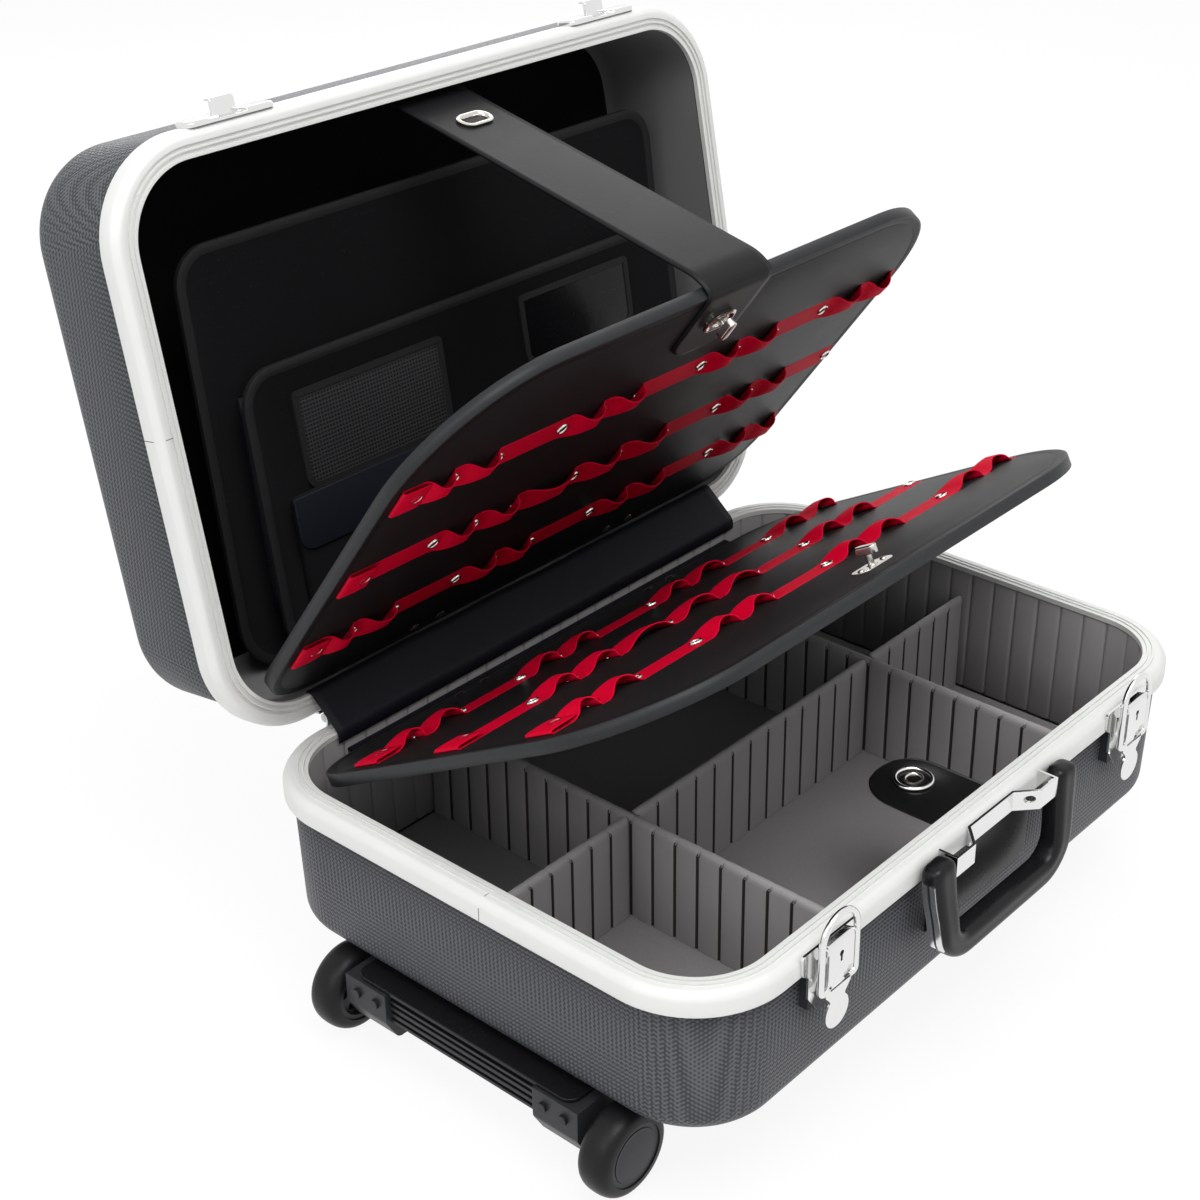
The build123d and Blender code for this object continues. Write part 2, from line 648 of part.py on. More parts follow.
def lid_lining_face(half_size, z):
    """Distance from the middle to the closed lid lining's inner face at height z, less a gap."""
    return half_size + LINING_IN - z * math.tan(math.radians(LID_SLOPE)) - SOFT_GAP


def leaning_panel(left, right, root_z, tip_y, tip_z, wall, corner):
    """Panel that stands on the lid's back lining and leans toward its front, closed lid."""
    root_y = lid_lining_face(HALF_WIDTH, root_z + 2 * wall)
    length = math.hypot(root_y - tip_y, root_z - tip_z)
    lean = math.degrees(math.atan2(root_z - tip_z, root_y - tip_y))
    sheet = Pos((left + right) / 2, -length / 2) * Rectangle(right - left, length)
    sheet = fillet(sheet.vertices().sort_by(Axis.Y)[:2], corner)
    sheet = fillet(sheet.vertices().sort_by(Axis.Y)[-2:], PANEL_ROOT_CORNER)
    solid = extrude(sheet, amount=wall)
    return Pos(0, root_y, root_z) * Rot(lean, 0, 0) * solid


def organizer():
    """Document panel, front pocket panel, their gussets and the flap pocket, in the open lid."""
    left, right = BACK_PANEL_LEFT_GAP - HALF_LENGTH, HALF_LENGTH - BACK_PANEL_RIGHT_GAP
    back = leaning_panel(
        left, right, BACK_PANEL_ROOT_Z, BACK_PANEL_TIP_Y, BACK_PANEL_TIP_Z, PANEL_WALL, PANEL_CORNER
    )
    left, right = FRONT_PANEL_LEFT_GAP - HALF_LENGTH, HALF_LENGTH - FRONT_PANEL_RIGHT_GAP
    front = leaning_panel(
        left, right, FRONT_PANEL_ROOT_Z, FRONT_PANEL_TIP_Y, FRONT_PANEL_TIP_Z, PANEL_WALL, PANEL_CORNER
    )
    root_y = lid_lining_face(HALF_WIDTH, BACK_PANEL_ROOT_Z + 2 * PANEL_WALL)
    back_slope = (BACK_PANEL_ROOT_Z - BACK_PANEL_TIP_Z) / (root_y - BACK_PANEL_TIP_Y)
    front_slope = (FRONT_PANEL_ROOT_Z - FRONT_PANEL_TIP_Z) / (root_y - FRONT_PANEL_TIP_Y)
    tip_y = FRONT_PANEL_TIP_Y + PANEL_CORNER
    foot_y = root_y - PANEL_ROOT_CORNER
    gap = PANEL_WALL + SOFT_GAP
    gusset_side = [
        (foot_y, FRONT_PANEL_ROOT_Z + gap - (root_y - foot_y) * front_slope),
        (foot_y, BACK_PANEL_ROOT_Z - SOFT_GAP - (root_y - foot_y) * back_slope),
        (tip_y, BACK_PANEL_ROOT_Z - SOFT_GAP - (root_y - tip_y) * back_slope),
        (tip_y, FRONT_PANEL_ROOT_Z + gap - (root_y - tip_y) * front_slope),
    ]
    inset = 2 * PANEL_WALL
    gussets = [
        side_profile(gusset_side, PANEL_WALL / 2, left + inset),
        side_profile(gusset_side, PANEL_WALL / 2, right - inset),
    ]
    pocket_drop = SOFT_GAP + FLAP_POCKET_WALL
    pocket = leaning_panel(
        FLAP_POCKET_LEFT,
        FLAP_POCKET_RIGHT,
        FRONT_PANEL_ROOT_Z - pocket_drop,
        FLAP_POCKET_TIP_Y,
        FRONT_PANEL_ROOT_Z - pocket_drop - (root_y - FLAP_POCKET_TIP_Y) * front_slope,
        FLAP_POCKET_WALL,
        PANEL_WALL,
    )
    return {
        "organizer_back": open_lid(back),
        "organizer_front": open_lid(front),
        "organizer_gussets": [open_lid(piece) for piece in gussets],
        "organizer_flap_pocket": open_lid(pocket),
    }


def front_shell_y(z):
    """Y of the base shell's front face at height z."""
    return -(HALF_WIDTH + SHELL_OUT) - z * math.tan(math.radians(BASE_SLOPE))


def front_plate(points, wall, behind):
    """Plate of (x, z) outline points whose back face lies at y = behind, toward -Y."""
    return raised(front_plane(behind), make_face(Polyline(*points, close=True)), wall)


def latch_plate():
    """Latch body plate with a narrower rounded tail and the two ears that hold the pin."""
    wide, tail = LATCH_PLATE_WIDTH / 2, LATCH_TAIL_WIDTH / 2
    shoulder, bottom = -LATCH_PLATE_SHOULDER, -LATCH_PLATE_BOTTOM
    top = -SOFT_GAP
    points = [
        (-wide, top),
        (wide, top),
        (wide, shoulder + 4),
        (tail, shoulder),
        (tail, bottom + 12),
        (tail * 0.5, bottom),
        (-tail * 0.5, bottom),
        (-tail, bottom + 12),
        (-tail, shoulder),
        (-wide, shoulder + 4),
    ]
    plate = front_plate(points, LATCH_PLATE_WALL, FRONT_BAND_Y)
    plate = fillet(plate.edges().filter_by(Axis.Y), 2.5)
    radius = LATCH_PIN_RADIUS * 2.1
    back = FRONT_BAND_Y - LATCH_PLATE_WALL / 2
    root = LEVER_PIVOT_Z - 3 * radius
    for side in (-1, 1):
        x = side * (EAR_IN + EAR_WALL / 2)
        ear = rod_x(LEVER_PIVOT_Y, LEVER_PIVOT_Z, radius, x - EAR_WALL / 2, x + EAR_WALL / 2)
        crest = (LEVER_PIVOT_Y, LEVER_PIVOT_Z + radius)
        nose = (LEVER_PIVOT_Y - radius, LEVER_PIVOT_Z)
        ear += side_profile([(back, root), (back, top), crest, nose], EAR_WALL / 2, x)
        plate += ear
    bore = rod_x(LEVER_PIVOT_Y, LEVER_PIVOT_Z, LATCH_PIN_RADIUS, -LATCH_PLATE_WIDTH, LATCH_PLATE_WIDTH)
    return plate - bore


def latch_spacer():
    """Moulded spacer that fills the step from the band to the shell behind the plate."""
    top = -BAND_HEIGHT - 0.1
    bottom = 3 - LATCH_PLATE_BOTTOM
    side = [
        (FRONT_BAND_Y, top),
        (front_shell_y(top) - 0.1, top),
        (front_shell_y(bottom) - 0.1, bottom),
        (FRONT_BAND_Y, bottom),
    ]
    return side_profile(side, LATCH_TAIL_WIDTH / 2 - 2)


def latch_lever():
    """Lock lever: an open-backed box over the pin, a flat apron and a rounded finger tongue."""
    front = FRONT_BAND_Y - LEVER_FRONT_OUT
    pin_radius = 4.4
    box_bottom = -LEVER_BOX_BOTTOM
    bail_z = BAIL_PIVOT_Z - BAIL_RADIUS * 2
    cheek = [
        (front, LEVER_PIVOT_Z + 1),
        (LEVER_PIVOT_Y, LEVER_PIVOT_Z + 3.2),
        (LEVER_PIVOT_Y + pin_radius, LEVER_PIVOT_Z),
        (LEVER_PIVOT_Y + pin_radius, box_bottom),
        (LEVER_PIVOT_Y + 3, bail_z),
        (front + LEVER_WALL, bail_z),
        (front, box_bottom),
    ]
    middle = LEVER_HALF - LEVER_WALL / 2
    lever = side_profile(cheek, LEVER_WALL / 2, middle) + side_profile(cheek, LEVER_WALL / 2, -middle)
    face = [
        (front, LEVER_PIVOT_Z + 1),
        (LEVER_PIVOT_Y - 0.4, LEVER_PIVOT_Z + 3.2),
        (LEVER_PIVOT_Y + 0.8, LEVER_PIVOT_Z + 2.2),
        (front + LEVER_WALL, LEVER_PIVOT_Z),
        (front + LEVER_WALL, box_bottom),
        (front, box_bottom),
    ]
    lever += side_profile(face, LEVER_HALF)
    tongue_z = LEVER_TIP_RADIUS - LEVER_TIP
    apron = front_plate(
        [(-LEVER_HALF, box_bottom), (LEVER_HALF, box_bottom), (LEVER_HALF, bail_z), (-LEVER_HALF, bail_z)],
        LEVER_WALL,
        front + 2 * LEVER_WALL,
    )
    waist = LEVER_HALF * 0.6
    neck_points = [
        (-LEVER_HALF, bail_z),
        (LEVER_HALF, bail_z),
        (waist, bail_z - 5),
        (waist, tongue_z),
        (-waist, tongue_z),
        (-waist, bail_z - 5),
    ]
    neck = front_plate(neck_points, LEVER_WALL, front + 2 * LEVER_WALL)
    tongue_y = front + 1.5 * LEVER_WALL
    tip = rod_y(0, tongue_z, LEVER_TIP_RADIUS, tongue_y - LEVER_WALL / 2, tongue_y + LEVER_WALL / 2)
    step = box_between(
        (-LEVER_HALF, front, box_bottom), (LEVER_HALF, front + 2 * LEVER_WALL, box_bottom + LEVER_WALL)
    )
    lever += apron + neck + tip + step
    key_z = -9.0
    keyhole = rod_y(0, key_z + 2, 1.7, front - 1, front + 2) + box_between(
        (-0.8, front - 1, key_z - 3), (0.8, front + 2, key_z + 2)
    )
    bores = rod_x(LEVER_PIVOT_Y, LEVER_PIVOT_Z, LATCH_PIN_RADIUS + PIN_CLEARANCE, -LEVER_TIP, LEVER_TIP)
    bores += rod_x(BAIL_PIVOT_Y, BAIL_PIVOT_Z, BAIL_RADIUS + PIN_CLEARANCE, -LEVER_TIP, LEVER_TIP)
    return lever - keyhole - bores


def latch_bail():
    """Round wire bail: two legs turned into the lever, and the half-round bow over the catch."""
    inner = LEVER_HALF - 2 * LEVER_WALL
    centre_z = BAIL_RISE - BAIL_SPREAD
    y = BAIL_PIVOT_Y
    turn = BAIL_RADIUS * 1.4
    bow = CenterArc((0, 0), BAIL_SPREAD, 0, 180)
    front = front_plane(y)
    down = BAIL_PIVOT_Z - centre_z
    right = JernArc((BAIL_SPREAD, down + turn), (0, -1), turn, -90)
    left = JernArc((-BAIL_SPREAD, down + turn), (0, -1), turn, 90)
    lines = [
        Line((inner, down), right @ 1),
        right,
        Line(right @ 0, bow @ 0),
        bow,
        Line(bow @ 1, left @ 0),
        left,
        Line(left @ 1, (-inner, down)),
    ]
    path = front * Wire(lines)
    section = Plane(origin=path @ 0, z_dir=path % 0) * Circle(BAIL_RADIUS)
    return Pos(0, 0, centre_z) * sweep(section, path=path)


def latch_catch():
    """Lid catch: a wide plate with a J-shaped hook that the bail snaps over."""
    wide = CATCH_WIDTH / 2
    points = [(-wide, CATCH_BOTTOM), (wide, CATCH_BOTTOM), (wide, CATCH_TOP), (-wide, CATCH_TOP)]
    plate = front_plate(points, CATCH_WALL, FRONT_BAND_Y)
    plate = fillet(plate.edges().filter_by(Axis.Y), 4)
    plate = chamfer(plate.faces().sort_by(Axis.Y)[0].edges(), CATCH_WALL * 0.35)
    wall = LATCH_PLATE_WALL
    recess = HOOK_WIDTH / 2 + wall
    plate -= box_between(
        (-recess, FRONT_BAND_Y - 2 * CATCH_WALL, CATCH_BOTTOM - 1),
        (recess, FRONT_BAND_Y - wall, HOOK_FLOOR - 1.5 * wall),
    )
    back = FRONT_BAND_Y - wall / 2
    out = FRONT_BAND_Y - HOOK_OUT
    hook = [
        (back, HOOK_FLOOR - 1.5 * wall),
        (out + wall, HOOK_FLOOR - 1.5 * wall),
        (out, HOOK_FLOOR - wall / 2),
        (out, HOOK_LIP),
        (out + wall * 0.8, HOOK_LIP),
        (out + wall * 0.8, HOOK_FLOOR),
        (back, HOOK_FLOOR),
    ]
    return plate + side_profile(hook, HOOK_WIDTH / 2)


def latches():
    """Two latches on the base and their catches on the lid, with the places of their solids."""
    nodes = {}
    plate, spacer, lever = latch_plate(), latch_spacer(), latch_lever()
    bail, catch = latch_bail(), latch_catch()
    pin = rod_x(LEVER_PIVOT_Y, LEVER_PIVOT_Z, LATCH_PIN_RADIUS, -EAR_IN - EAR_WALL, EAR_IN + EAR_WALL)
    places = [Pos(-LATCH_PLACE, 0, 0), Pos(LATCH_PLACE, 0, 0)]
    nodes["latch_plates"] = [place * plate for place in places]
    nodes["latch_spacers"] = [place * spacer for place in places]
    nodes["latch_pins"] = [place * pin for place in places]
    nodes["latch_catches"] = [open_lid(place * catch) for place in places]
    for name, place in zip(("left", "right"), places):
        nodes[name + "_latch_lever"] = place * lever
        nodes[name + "_latch_bail"] = place * bail
    return nodes


def handle_bracket():
    """Folded strip: flat in the middle, stepping out to a box end that carries each pin."""
    back = FRONT_BAND_Y
    out = FRONT_BAND_Y - BRACKET_OUT
    half = [
        (0, back),
        (BRACKET_MIDDLE + 1, back),
        (BRACKET_SHELF, out + BRACKET_WALL),
        (BRACKET_HALF - BRACKET_WALL, out + BRACKET_WALL),
        (BRACKET_HALF - BRACKET_WALL, back),
        (BRACKET_HALF, back),
        (BRACKET_HALF, out),
        (BRACKET_SHELF - 1, out),
        (BRACKET_MIDDLE, back - BRACKET_WALL),
        (0, back - BRACKET_WALL),
    ]
    level = Plane.XY.offset(BRACKET_BOTTOM)
    strip = raised(level, make_face(Polyline(*half, close=True)), BRACKET_TOP - BRACKET_BOTTOM)
    strip += mirror(strip, about=Plane.YZ)
    bore = rod_x(HANDLE_PIVOT_Y, HANDLE_PIVOT_Z, HANDLE_PIN_RADIUS, -HANDLE_TOP_HALF, HANDLE_TOP_HALF)
    return strip - bore


def carry_handle():
    """Moulded grip: the front outline of a deep D crossed with its side outline."""
    opening_top = BRACKET_HALF + 2 * SOFT_GAP
    narrow = BRACKET_BOTTOM - 2
    top = HANDLE_PIVOT_Z + HANDLE_TOP_RADIUS
    outer = Polygon(
        (-HANDLE_TOP_HALF, top), (HANDLE_TOP_HALF, top), (HANDLE_BOTTOM_HALF, -HANDLE_DEPTH),
        (-HANDLE_BOTTOM_HALF, -HANDLE_DEPTH), align=None,
    )
    outer = fillet(outer.vertices().sort_by(Axis.Y)[:2], HANDLE_CORNER)
    inner = Polygon(
        (-opening_top, top + 1), (opening_top, top + 1), (opening_top, narrow),
        (HANDLE_OPENING_HALF, -HANDLE_OPENING_BOTTOM), (-HANDLE_OPENING_HALF, -HANDLE_OPENING_BOTTOM),
        (-opening_top, narrow), align=None,
    )
    inner = fillet(inner.vertices().sort_by(Axis.Y)[:2], HANDLE_INNER_CORNER)
    slab = raised(front_plane(FRONT_BAND_Y), outer - inner, HANDLE_BAR_OUT + 5)
    bar_in, bar_out = FRONT_BAND_Y - HANDLE_BAR_IN, FRONT_BAND_Y - HANDLE_BAR_OUT
    back, nose = HANDLE_PIVOT_Y + HANDLE_TOP_RADIUS, HANDLE_PIVOT_Y - HANDLE_TOP_RADIUS
    side = [
        (back, HANDLE_PIVOT_Z),
        (nose, HANDLE_PIVOT_Z),
        (bar_out, -HANDLE_OPENING_BOTTOM),
        (bar_out, -HANDLE_DEPTH),
        (bar_in, -HANDLE_DEPTH),
        (bar_in, -HANDLE_OPENING_BOTTOM),
    ]
    silhouette = side_profile(side, HANDLE_TOP_HALF)
    silhouette = fillet(silhouette.edges().filter_by(Axis.X).sort_by(Axis.Z)[:2], HANDLE_EDGE)
    silhouette += rod_x(HANDLE_PIVOT_Y, HANDLE_PIVOT_Z, HANDLE_TOP_RADIUS, -HANDLE_TOP_HALF, HANDLE_TOP_HALF)
    grip = slab & silhouette
    bore = HANDLE_PIN_RADIUS + PIN_CLEARANCE
    reach = BRACKET_HALF + 9
    for side_of in (-1, 1):
        ends = sorted((side_of * BRACKET_MIDDLE, side_of * reach))
        grip -= rod_x(HANDLE_PIVOT_Y, HANDLE_PIVOT_Z, bore, *ends)
    return grip


def handle_group():
    """Carry handle with its bracket, pins and the dished backing plate on the shell."""
    pins = []
    for side in (-1, 1):
        ends = sorted((side * (BRACKET_HALF - 4), side * (BRACKET_HALF + 8.5)))
        pins.append(rod_x(HANDLE_PIVOT_Y, HANDLE_PIVOT_Z, HANDLE_PIN_RADIUS, *ends))
    top = -BAND_HEIGHT - 0.3
    bottom = -BACKING_BOTTOM
    side_outline = [
        (front_shell_y(top) - 0.1, top),
        (front_shell_y(top) - BACKING_WALL, top),
        (front_shell_y(bottom) - BACKING_WALL, bottom + BACKING_WALL),
        (front_shell_y(bottom) - 0.1, bottom),
    ]
    backing = side_profile(side_outline, BRACKET_HALF - 2)
    return {
        "handle_bracket": handle_bracket(),
        "handle_pins": pins,
        "handle_backing": backing,
        "carry_handle": carry_handle(),
    }


def wheel_parts(side):
    """Barrel tyre and spoked hub of one wheel; side is -1 for the front one, 1 for the back one."""
    face = WHEEL_INNER_FACE
    outer = face + WHEEL_WIDTH
    rim_radius = WHEEL_RADIUS - TYRE_WALL
    crown = WHEEL_WIDTH * 0.18
    tyre_outline = Polyline(
        (rim_radius + 0.1, face + 1), (WHEEL_RADIUS - 2, face), (WHEEL_RADIUS, face + crown),
        (WHEEL_RADIUS, outer - crown), (WHEEL_RADIUS - 2, outer), (rim_radius + 0.1, outer - 1), close=True,
    )
    bore = AXLE_RADIUS + PIN_CLEARANCE
    boss = AXLE_RADIUS * 2
    cup = rim_radius - 2.8
    hub_outline = Polyline(
        (bore, face + 0.5), (boss, face + 0.5), (boss, face + 6), (cup, face + 6), (cup, face + 1.5),
        (rim_radius, face + 1.5), (rim_radius, outer - 1.2), (cup, outer - 1.2), (cup, face + 12),
        (boss, face + 12),
        (boss, outer - 5), (bore, outer - 5), close=True,
    )
    tyre = revolve(make_face(tyre_outline), axis=Axis.Y)
    hub = revolve(make_face(hub_outline), axis=Axis.Y)
    holes = PolarLocations((boss + cup) / 2, 6)
    for hole in holes:
        x, z = hole.position.X, hole.position.Y
        hub -= rod_y(x, z, 2.9, face, outer)
    cap = rod_y(0, 0, cup - 0.2, outer - 3.5, outer - 0.8)
    place = Pos(WHEEL_X, 0, WHEEL_Z)
    pieces = [place * piece for piece in (tyre, hub, cap)]
    if side < 0:
        pieces = [mirror(piece, about=Plane.XZ) for piece in pieces]
    return pieces


def axle_block(side):
    """End block of the wheel carrier: squared top, nose rounded about the axle."""
    high, low = PLATE_BOTTOM, WHEEL_Z - BLOCK_NOSE
    left, right = WHEEL_X - BLOCK_HALF, WHEEL_X + BLOCK_HALF
    points = [
        (left, high), (right, high), (right, WHEEL_Z + 6),
        (WHEEL_X + BLOCK_NOSE, low), (WHEEL_X - BLOCK_NOSE, low),
        (left, WHEEL_Z + 6),
    ]
    block = raised(front_plane(BLOCK_OUT), make_face(Polyline(*points, close=True)), BLOCK_OUT - BLOCK_IN)
    block = fillet(block.edges().filter_by(Axis.Y).sort_by(Axis.Z)[:4], 5)
    block -= rod_y(WHEEL_X, WHEEL_Z, AXLE_RADIUS, 0, WHEEL_INNER_FACE)
    return block if side > 0 else mirror(block, about=Plane.XZ)


def cross_rail():
    """Ribbed aluminium rail between the end blocks, open underneath."""
    high = PLATE_BOTTOM - RAIL_DROP
    rib = RAIL_HEIGHT / 5
    face = Pos(WHEEL_X, high - RAIL_HEIGHT / 2) * Rectangle(2 * RAIL_HALF, RAIL_HEIGHT)
    for side in (-1, 1):
        for step in (-1, 0, 1):
            z = high - RAIL_HEIGHT / 2 + step * rib * 1.5
            face -= Pos(WHEEL_X + side * RAIL_HALF, z) * Rectangle(2 * rib, rib * 0.7)
    face -= Pos(WHEEL_X, high - RAIL_HEIGHT) * Rectangle(RAIL_HALF, RAIL_HEIGHT)
    return extrude(front_plane(0) * face, amount=BLOCK_IN, both=True)


def carrier():
    """Mounting plate, end blocks, rail, axle, screws and wheels under the -X end, feet at the other."""
    left = WHEEL_X - BLOCK_HALF + 2
    sheet = RectangleRounded(PLATE_END - left, 2 * PLATE_HALF_WIDTH, 8)
    sheet = Pos((left + PLATE_END) / 2, 0, PLATE_BOTTOM) * sheet
    plate = extrude(sheet, amount=PLATE_WALL)
    screws = []
    for y in (-BLOCK_OUT, BLOCK_OUT):
        for shift in (0.3, 0.75):
            place_y = y - math.copysign(shift * (BLOCK_OUT - BLOCK_IN), y)
            place = Pos(WHEEL_X - BLOCK_HALF - 1, place_y, PLATE_BOTTOM - 9)
            screws.append(place * Rot(0, 90, 0) * Cylinder(3, 2))
    end = WHEEL_INNER_FACE + WHEEL_WIDTH - 4.5
    foot_top = -BASE_DEPTH
    foot_face = RectangleRounded(FOOT_LENGTH, FOOT_WIDTH, 6)
    foot = extrude(foot_face, amount=foot_top - GROUND_Z, taper=-FOOT_TAPER)
    feet = [Pos(FOOT_X, y, GROUND_Z) * foot for y in (-FOOT_PLACE, FOOT_PLACE)]
    front_tyre, front_hub, front_cap = wheel_parts(-1)
    back_tyre, back_hub, back_cap = wheel_parts(1)
    return {
        "mounting_plate": plate,
        "axle_blocks": [axle_block(-1), axle_block(1)],
        "block_screws": screws,
        "cross_rail": cross_rail(),
        "axle": rod_y(WHEEL_X, WHEEL_Z, AXLE_RADIUS, -end, end),
        "feet": feet,
        "front_tyre": front_tyre,
        "front_hub": [front_hub, front_cap],
        "back_tyre": back_tyre,
        "back_hub": [back_hub, back_cap],
    }


def tube(width, height, wall, start, end):
    """Rounded rectangular tube along X, centred on the pull handle's height."""
    corner = height * 0.3
    section = RectangleRounded(width, height, corner)
    section -= RectangleRounded(width - 2 * wall, height - 2 * wall, max(corner - wall, 0.3))
    plane = Plane(origin=(start, 0, TUBE_Z), x_dir=(0, 1, 0), z_dir=(1, 0, 0))
    return extrude(plane * section, amount=end - start)


def channel(width, height, start, end):
    """Outer sleeve of a pull tube: a channel along X that the mounting plate closes from above."""
    section = fillet(Rectangle(width, height).vertices().sort_by(Axis.Y)[:2], 2 * TUBE_WALL)
    section -= Pos(0, TUBE_WALL / 2) * Rectangle(width - 2 * TUBE_WALL, height - TUBE_WALL)
    plane = Plane(origin=(start, 0, TUBE_Z), x_dir=(0, 1, 0), z_dir=(1, 0, 0))
    return extrude(plane * section, amount=end - start)


def pull_handle():
    """Telescopic pull handle: two sets of nested tubes, the bow grip and its release button."""
    sides = [Pos(0, -TUBE_PLACE, 0), Pos(0, TUBE_PLACE, 0)]
    mid_width, mid_height = OUTER_TUBE_WIDTH - MID_STEP, OUTER_TUBE_HEIGHT - MID_STEP
    inner_width, inner_height = mid_width - INNER_STEP, mid_height - INNER_STEP
    outer = channel(OUTER_TUBE_WIDTH, OUTER_TUBE_HEIGHT, TUBE_START, HALF_LENGTH - OUTER_TUBE_INSET)
    mid = tube(
        mid_width, mid_height, MID_TUBE_WALL, TUBE_START + TUBE_TAIL, HALF_LENGTH - MID_TUBE_INSET
    )
    inner = tube(inner_width, inner_height, TUBE_WALL, TUBE_START + 2 * TUBE_TAIL, GRIP_ARM_IN)
    arms = RectangleRounded(GRIP_OUT - GRIP_ARM_IN, 2 * GRIP_HALF, GRIP_CORNER)
    arms = Pos((GRIP_ARM_IN + GRIP_OUT) / 2, 0) * arms
    arm_width = 2 * (GRIP_HALF - TUBE_PLACE)
    bar_in = HALF_LENGTH - GRIP_BAR_INSET
    gap = Pos((GRIP_ARM_IN + bar_in) / 2 - GRIP_CORNER, 0) * RectangleRounded(
        bar_in - GRIP_ARM_IN + 2 * GRIP_CORNER, 2 * (GRIP_HALF - arm_width), GRIP_CORNER * 0.8
    )
    low = TUBE_Z - OUTER_TUBE_HEIGHT / 2
    grip = extrude(Pos(0, 0, low) * (arms - gap), amount=OUTER_TUBE_HEIGHT)
    grip = fillet(grip.edges().filter_by(Axis.Z, reverse=True), 3)
    pocket_depth = BUTTON_DEPTH + BUTTON_TRAVEL + BUTTON_CLEARANCE
    pocket_half = BUTTON_LENGTH / 2 + BUTTON_CLEARANCE
    pocket_rise = BUTTON_HEIGHT / 2 + BUTTON_CLEARANCE
    grip -= box_between(
        (GRIP_OUT - pocket_depth, -pocket_half, TUBE_Z - pocket_rise),
        (GRIP_OUT + 1, pocket_half, TUBE_Z + pocket_rise),
    )
    button = box_between(
        (GRIP_OUT - BUTTON_DEPTH, -BUTTON_LENGTH / 2, TUBE_Z - BUTTON_HEIGHT / 2),
        (GRIP_OUT + BUTTON_STAND, BUTTON_LENGTH / 2, TUBE_Z + BUTTON_HEIGHT / 2),
    )
    button = fillet(button.faces().sort_by(Axis.X)[-1].edges(), 1.5)
    return {
        "pull_outer_tubes": [place * outer for place in sides],
        "pull_middle_tubes": [place * mid for place in sides],
        "pull_inner_tubes": [place * inner for place in sides],
        "pull_grip": grip,
        "grip_button": button,
    }


def build():
    """All pieces by name, in the open case, with the case's joint at Z = 0."""
    nodes = base_half()
    nodes.update({name: open_lid(piece) for name, piece in lid_half().items()})
    groups = (
        dividers, lid_hinge, tool_boards, strap, closing_flap, organizer, latches, handle_group, carrier,
    )
    for group in groups:
        nodes.update(group())
    nodes.update(pull_handle())
    return nodes


def gather(pieces):
    """One shape from a single piece or a list of pieces."""
    if not isinstance(pieces, list):
        return pieces
    return Compound([solid for piece in pieces for solid in piece.solids()])


def origin_shift(shapes):
    """Move that brings the middle of the open case's footprint, at floor level, to the origin."""
    box = Compound(list(shapes)).bounding_box()
    return Pos(-(box.min.X + box.max.X) / 2, -(box.min.Y + box.max.Y) / 2, -box.min.Z)


PIECES = {name: gather(pieces) for name, pieces in build().items()}
SHIFT = origin_shift(PIECES.values())

if __name__ == "__main__":
    os.makedirs("parts", exist_ok=True)
    for name, shape in PIECES.items():
        export_step(SHIFT * shape, os.path.join("parts", name + ".step"))
    print(len(PIECES), "nodes, shift", SHIFT.position)
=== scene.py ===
"""Wheeled hard case, dressed for rendering.

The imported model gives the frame. Each sub-assembly below draws its visible pieces in
millimetres, in the closed case's own axes: X along the case, the front with its latches
toward -Y, the hinge toward +Y, and the two halves meeting at Z = 0. A place matrix then
carries each piece to the open case, in metres.
"""

import logging
import math
import random
from dataclasses import dataclass, field
from enum import Enum
from typing import Callable, Sequence

import bmesh
import bpy
from mathutils import Matrix, Vector


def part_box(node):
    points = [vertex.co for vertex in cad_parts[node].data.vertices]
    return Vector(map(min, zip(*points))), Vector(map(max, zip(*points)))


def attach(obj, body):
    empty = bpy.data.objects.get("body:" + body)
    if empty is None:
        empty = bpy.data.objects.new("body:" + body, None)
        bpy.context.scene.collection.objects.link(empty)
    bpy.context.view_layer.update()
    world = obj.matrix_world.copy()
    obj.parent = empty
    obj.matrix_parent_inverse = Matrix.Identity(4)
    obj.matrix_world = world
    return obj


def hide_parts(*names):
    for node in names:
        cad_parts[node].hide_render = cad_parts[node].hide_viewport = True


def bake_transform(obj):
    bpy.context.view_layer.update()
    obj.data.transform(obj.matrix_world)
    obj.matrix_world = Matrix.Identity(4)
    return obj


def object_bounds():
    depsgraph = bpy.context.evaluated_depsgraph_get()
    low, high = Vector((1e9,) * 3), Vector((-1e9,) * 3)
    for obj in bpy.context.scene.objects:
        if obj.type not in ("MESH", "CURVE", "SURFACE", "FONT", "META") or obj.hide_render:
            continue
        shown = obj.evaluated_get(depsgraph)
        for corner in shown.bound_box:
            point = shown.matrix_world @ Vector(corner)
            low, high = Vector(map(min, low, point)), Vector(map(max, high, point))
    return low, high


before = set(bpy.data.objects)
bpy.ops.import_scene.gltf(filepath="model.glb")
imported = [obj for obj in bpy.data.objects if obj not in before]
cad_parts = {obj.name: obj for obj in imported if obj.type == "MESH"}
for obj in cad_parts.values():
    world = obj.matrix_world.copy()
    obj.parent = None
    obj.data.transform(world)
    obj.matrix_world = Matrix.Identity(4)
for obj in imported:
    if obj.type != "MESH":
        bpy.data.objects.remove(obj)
CAD_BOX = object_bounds()
LOG = logging.getLogger("case")

Colour = tuple[float, float, float]


# Places and sizes


